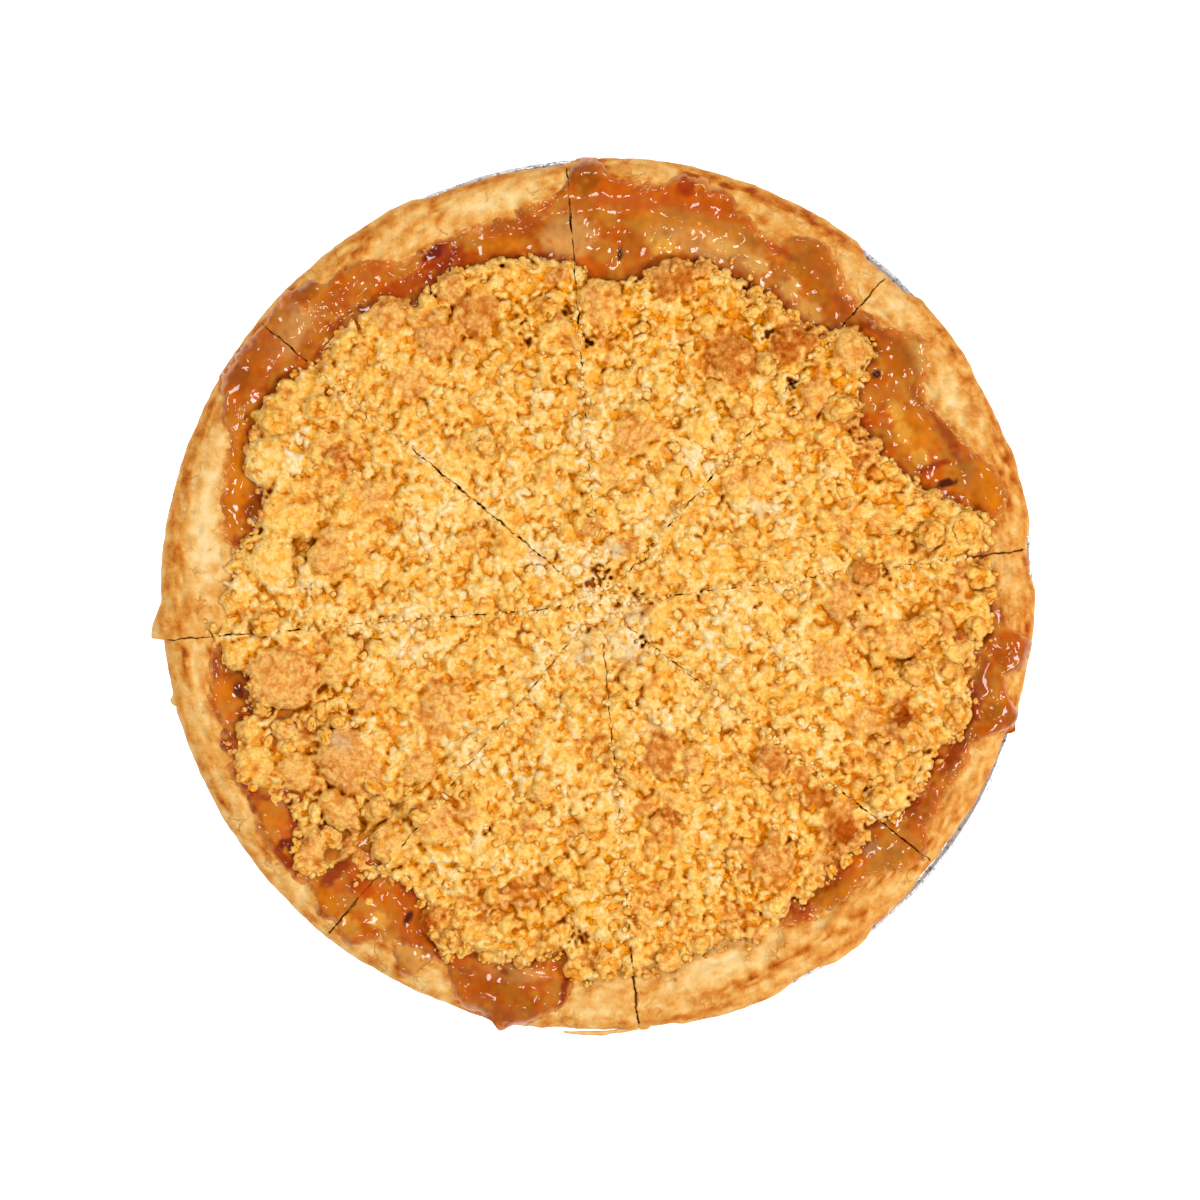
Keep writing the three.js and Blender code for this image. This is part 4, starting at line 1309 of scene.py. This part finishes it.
# Clumps that stand free on the topping or at its edge: px, py, radius in px, tone, how flat.
FREE_CLUMPS = [
    (285, 730, 12, 0.65, 0.65), (262, 708, 9, 0.58, 0.7), (380, 808, 13, 0.62, 0.65),
    (421, 817, 11, 0.62, 0.65), (331, 838, 11, 0.62, 0.7), (267, 624, 15, 0.55, 0.6),
    (320, 712, 9, 0.55, 0.75), (338, 722, 8, 0.5, 0.75), (312, 725, 7, 0.5, 0.75),
    (326, 736, 8, 0.5, 0.75), (275, 796, 9, 0.6, 0.7), (372, 786, 9, 0.6, 0.7), (767, 365, 12, 0.62, 0.6),
    (773, 312, 9, 0.6, 0.7), (755, 292, 8, 0.52, 0.7), (753, 312, 8, 0.52, 0.7),
    (838, 411, 12, 0.58, 0.65), (932, 534, 16, 0.58, 0.6), (965, 528, 15, 0.58, 0.6),
    (866, 576, 13, 0.85, 0.5), (977, 576, 14, 0.56, 0.6), (979, 625, 13, 0.58, 0.6),
    (925, 631, 14, 0.6, 0.6), (918, 673, 15, 0.62, 0.55), (948, 669, 12, 0.62, 0.6),
    (956, 715, 17, 0.62, 0.55), (912, 732, 13, 0.6, 0.6), (812, 882, 10, 0.6, 0.7),
    (734, 858, 10, 0.4, 0.7), (581, 843, 8, 0.45, 0.8), (667, 958, 15, 0.64, 0.6),
    (608, 966, 12, 0.6, 0.6), (577, 970, 13, 0.6, 0.6), (671, 979, 6, 0.6, 0.8), (692, 966, 6, 0.6, 0.8),
    (522, 962, 8, 0.6, 0.7), (488, 956, 9, 0.55, 0.7), (451, 938, 10, 0.6, 0.7),
    (276, 421, 15, 0.54, 0.6), (319, 407, 13, 0.54, 0.65), (547, 306, 10, 0.6, 0.7),
    (485, 446, 12, 0.6, 0.6), (640, 985, 8, 0.6, 0.7), (700, 940, 12, 0.6, 0.6),
    (730, 930, 10, 0.6, 0.65), (550, 940, 11, 0.6, 0.65), (880, 800, 12, 0.6, 0.65),
    (905, 770, 13, 0.6, 0.6), (366, 905, 10, 0.58, 0.7), (400, 930, 8, 0.58, 0.7),
    (888, 470, 9, 0.5, 0.7), (990, 590, 8, 0.56, 0.7),
]


def make_free_clumps():
    fabric = Fabric(*CRUMB_LAYERS)
    rng = np.random.default_rng(SEED + 80)
    for px, py, radius_px, tone, flat in FREE_CLUMPS:
        x, y = from_photo(px, py)
        size = radius_px * MM_PER_PX
        z = ground(x, y, around_z) + size * flat * 0.25
        detail = 4 if size > 2.6 else 3
        levels = [(5, 0.45, 0.5), (10, 0.7, 0.38), (int(9 * size), 0.84, min(0.3, 1.0 / size))]
        add_crumb(fabric, rng, x, y, z, size, flat, tone, detail, levels)
    piece = fabric.build("crumb_clumps", CRUMBS)


def make_medium_crumbs():
    """Crumbs strewn over the topping, clear of the cuts, the hollows and the large clumps."""
    fabric = Fabric(*CRUMB_LAYERS)
    rng = np.random.default_rng(SEED + 81)
    x, y, draw = scatter(7.2, 82, lambda x, y: sample(crumb_edge - RADIUS, x, y) > 0.3)
    clump = np.maximum.reduce([hill(*place) for *place, _, _ in FUSED_CLUMPS])
    for cx, cy, chance, shade, lift in zip(x, y, *draw[:3]):
        by_cut = sample(near_cut, cx, cy) < 2.2 or math.dist((cx, cy), CUT_CENTRE) < 16
        if by_cut or sample(hollow, cx, cy) > 0.5 or sample(clump, cx, cy) > 0.3:
            continue
        size = 0.9 + 1.2 * chance ** 1.5
        z = ground(cx, cy, around_z) + size * (-0.42 + 0.45 * lift)
        tone = float(sample(crumb_tone, cx, cy)) + 0.14 * (shade - 0.5)
        detail = 3 if size > 1.25 else 2
        add_crumb(fabric, rng, cx, cy, z, size, 0.8, tone, detail, [(4, 0.5, 0.55), (6, 0.75, 0.35)])
    piece = fabric.build("crumbs_medium", CRUMBS)


def make_fine_crumbs():
    """Fine loose crumbs: over the closed stretches of the cuts and along the topping's edge."""
    fabric = Fabric(*CRUMB_LAYERS)
    rng = np.random.default_rng(SEED + 83)
    over_cut, at_edge = 0.34, 0.62  # tones
    spots = []
    for number, bearing in enumerate(CUT_BEARINGS):
        turn = math.radians(bearing)
        for radius in np.arange(4, 106, 1.3):
            if half_gap(number, radius) > 0.16 or radius > around(CRUMB_EDGE, bearing) - 1:
                continue
            aside = rng.normal(0, 0.8)
            x, y = on_pie(radius + rng.uniform(-0.4, 0.4), bearing)
            spots.append((x - aside * math.sin(turn), y + aside * math.cos(turn), over_cut))
    for bearing in rng.uniform(0, 360, 280):
        radius = around(CRUMB_EDGE, bearing) + rng.normal(0.0, 1.5)
        x, y = on_pie(radius, bearing)
        spots.append((float(x), float(y), at_edge))
    for bearing in rng.uniform(0, 360, 170):
        x, y = on_pie(around(CRUMB_EDGE, bearing) + rng.normal(-0.5, 0.5), bearing)
        size = rng.uniform(1.0, 1.8)
        z = ground(x, y, syrup_z, pastry_z) + 0.4 * size
        shade = 0.56 + rng.normal(0, 0.07)
        add_crumb(fabric, rng, x, y, z, size, 0.85, shade, 3, [(6, 0.6, 0.5)])
    for x, y, tone in spots:
        size = rng.uniform(0.4, 1.25)
        z = ground(x, y, crumb_z, syrup_z, pastry_z) + 0.15 * size
        shade = tone + rng.normal(0, 0.06)
        add_crumb(fabric, rng, x, y, z, size, 0.85, shade, 2, [(4, 0.6, 0.5)])
    piece = fabric.build("crumbs_fine", CRUMBS)


make_free_clumps()
make_medium_crumbs()
make_fine_crumbs()


# ---- Floor, light and camera -----------------------------------------------------------------------
def make_floor():
    mesh = bpy.data.meshes.new("floor")
    far = 3.0
    mesh.from_pydata([(-far, -far, 0), (far, -far, 0), (far, far, 0), (-far, far, 0)], [], [(0, 1, 2, 3)])
    paint = Paint("floor_white", Roughness=0.9, Base_Color=(0.97, 0.97, 0.97, 1),
                  Emission_Color=(1, 1, 1, 1), Emission_Strength=0.45)
    mesh.materials.append(paint.material)
    floor = add_object("floor", mesh)


def add_light(name, place, size, power):
    """A square lamp that points at the pie."""
    light = bpy.data.lights.new(name, "AREA")
    light.shape = "SQUARE"
    light.size = size
    light.energy = power
    lamp = add_object(name, light)
    lamp.location = place
    x, y, z = place
    lamp.rotation_euler = (math.atan2(math.hypot(x, y), z), 0, math.atan2(-y, -x) - math.pi / 2)


def make_world(strength, overhead):
    """White all round, and dim overhead as in a studio whose lamps stand round the table."""
    world = bpy.data.worlds.new("studio")
    world.use_nodes = True
    nodes, links = world.node_tree.nodes, world.node_tree.links
    place = nodes.new("ShaderNodeTexCoord")
    parts = nodes.new("ShaderNodeSeparateXYZ")
    links.new(place.outputs["Generated"], parts.inputs[0])
    fall = nodes.new("ShaderNodeMapRange")
    fall.interpolation_type = "SMOOTHSTEP"
    span = {"From Min": 0.72, "From Max": 0.9, "To Min": strength, "To Max": overhead}
    for socket, value in span.items():
        fall.inputs[socket].default_value = value
    links.new(parts.outputs["Z"], fall.inputs["Value"])
    links.new(fall.outputs["Result"], nodes["Background"].inputs["Strength"])
    nodes["Background"].inputs["Color"].default_value = (1, 1, 1, 1)
    bpy.context.scene.world = world


def make_camera():
    distance = 1.5
    frame_width = PHOTO_SIDE * MM_PER_PX * MM
    x, y = from_photo(PHOTO_SIDE / 2, PHOTO_SIDE / 2)
    data = bpy.data.cameras.new("camera")
    data.sensor_fit = "HORIZONTAL"
    data.sensor_width = 36
    data.lens = data.sensor_width * distance / frame_width
    camera = add_object("camera", data)
    camera.location = (x * MM, y * MM, distance + CREST_Z * MM)
    bpy.context.scene.camera = camera


make_floor()
make_world(0.6, 0.12)
add_light("right", (0.95, -0.3, 1.0), 0.34, 14.5)
add_light("left", (-0.85, 0.2, 1.15), 0.28, 8)
add_light("far", (0.15, 0.85, 1.15), 0.26, 7.4)
add_light("near", (0.1, -0.8, 1.2), 0.26, 7)
make_camera()
bpy.context.scene.view_settings.view_transform = "Standard"
